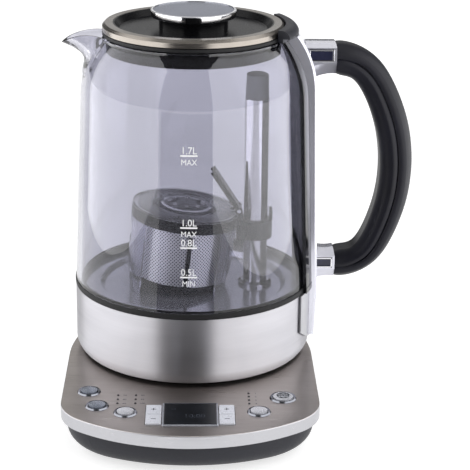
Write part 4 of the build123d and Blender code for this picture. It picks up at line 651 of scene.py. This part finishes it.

# floor: plain white, which also shows white to the camera and in reflections; its glow drops to a lower level near
# the object, a painted shade round it
floorValues = {"size": 20, "drop": 0.2, "colour": "c4c4c4", "roughness": 0.9, "glowWithPaintedShade": (0.66, 1.0),
               "rise": (0.25, 0.9)}
bpy.ops.mesh.primitive_plane_add(size=floorValues["size"], location=(0, 0, -floorValues["drop"] * mm))
floor = bpy.context.object
floor.name = "floor"
floorMaterial, tree, shader = newMaterial("floorWhite", {"Base Color": floorValues["colour"],
                                                         "Roughness": floorValues["roughness"]})
path = addNode(tree, "ShaderNodeLightPath")
seen = addNode(tree, "ShaderNodeMath", {"operation": "ADD"}, {},
               {0: path.outputs["Is Camera Ray"], 1: path.outputs["Is Glossy Ray"]})
seenAll = addNode(tree, "ShaderNodeMath", {"operation": "ADD", "use_clamp": True}, {},
                  {0: seen.outputs[0], 1: path.outputs["Is Transmission Ray"]})
where = addNode(tree, "ShaderNodeTexCoord")
reach = addNode(tree, "ShaderNodeVectorMath", {"operation": "LENGTH"}, {}, {0: where.outputs["Object"]})
# the glow runs from its lower level near the object to full strength far off: painted shade round the object
low, high = floorValues["glowWithPaintedShade"]
near, far = floorValues["rise"]
level = addNode(tree, "ShaderNodeMapRange", {}, {"From Min": near, "From Max": far, "To Min": low, "To Max": high},
                {"Value": reach.outputs["Value"]})
glowWithPaintedShade = addNode(tree, "ShaderNodeMath", {"operation": "MULTIPLY"}, {},
               {0: seenAll.outputs[0], 1: level.outputs["Result"]})
shader.inputs["Emission Color"].default_value = (1, 1, 1, 1)
tree.links.new(glowWithPaintedShade.outputs[0], shader.inputs["Emission Strength"])
floor.data.materials.append(floorMaterial)

# soft boxes at both sides, with a dark gap between them in front, one above and one behind
softBoxes = {
    "left": {"place": (-0.42, -0.20, 0.45), "towards": (0, -0.20, 0.45), "size": (0.90, 0.90), "radiance": 1.9},
    "right": {"place": (0.34, -0.215, 0.45), "towards": (-0.59, 0.015, 0.45), "size": (0.96, 0.90), "radiance": 1.9},
    "top": {"place": (0, 0.15, 1.20), "towards": (0, 0, 0.2), "size": (0.8, 0.6), "radiance": 1.4},
    "back": {"place": (0, 1.10, 0.75), "towards": (0, 0, 0.12), "size": (1.1, 0.7), "radiance": 0.7},
}
for name, box in softBoxes.items():
    lamp = bpy.data.lights.new(name + "SoftBox", "AREA")
    lamp.shape = "RECTANGLE"
    lamp.size, lamp.size_y = box["size"]
    lamp.energy = box["radiance"] * math.pi * box["size"][0] * box["size"][1]
    lampObject = bpy.data.objects.new(name + "SoftBox", lamp)
    bpy.context.scene.collection.objects.link(lampObject)
    lampObject.location = box["place"]
    lampObject.rotation_euler = (Vector(box["towards"]) - Vector(box["place"])).to_track_quat("-Z", "Y").to_euler()
    lampObject.visible_camera = False
# dark card laid in front of the object: metal and glass show it as the dark stripe between the soft boxes
flagCard = {"near": 0.235, "far": 3.0, "left": 31, "right": 18, "rise": 1, "colour": "5c5c66", "roughness": 0.9}
bpy.ops.mesh.primitive_plane_add(size=1, location=(0, 0, 0))
card = bpy.context.object
card.name = "darkCard"
corners = (("near", "left"), ("near", "right"), ("far", "left"), ("far", "right"))
for vertex, (reach, side) in zip(card.data.vertices, corners):
    turn = math.radians(flagCard[side]) * (-1 if side == "left" else 1)
    vertex.co = (flagCard[reach] * math.tan(turn), -flagCard[reach], flagCard["rise"] * mm)
cardMaterial, tree, shader = newMaterial("darkCloth", {"Base Color": flagCard["colour"],
                                                       "Roughness": flagCard["roughness"]})
card.data.materials.append(cardMaterial)
card.visible_camera = False
card.visible_diffuse = False
card.visible_transmission = False
card.visible_shadow = False
studio = {"grey": 0.12}
world = bpy.data.worlds.new("studio")
bpy.context.scene.world = world
world.use_nodes = True
world.node_tree.nodes["Background"].inputs["Color"].default_value = (1, 1, 1, 1)
world.node_tree.nodes["Background"].inputs["Strength"].default_value = studio["grey"]
print("floor and lights set")
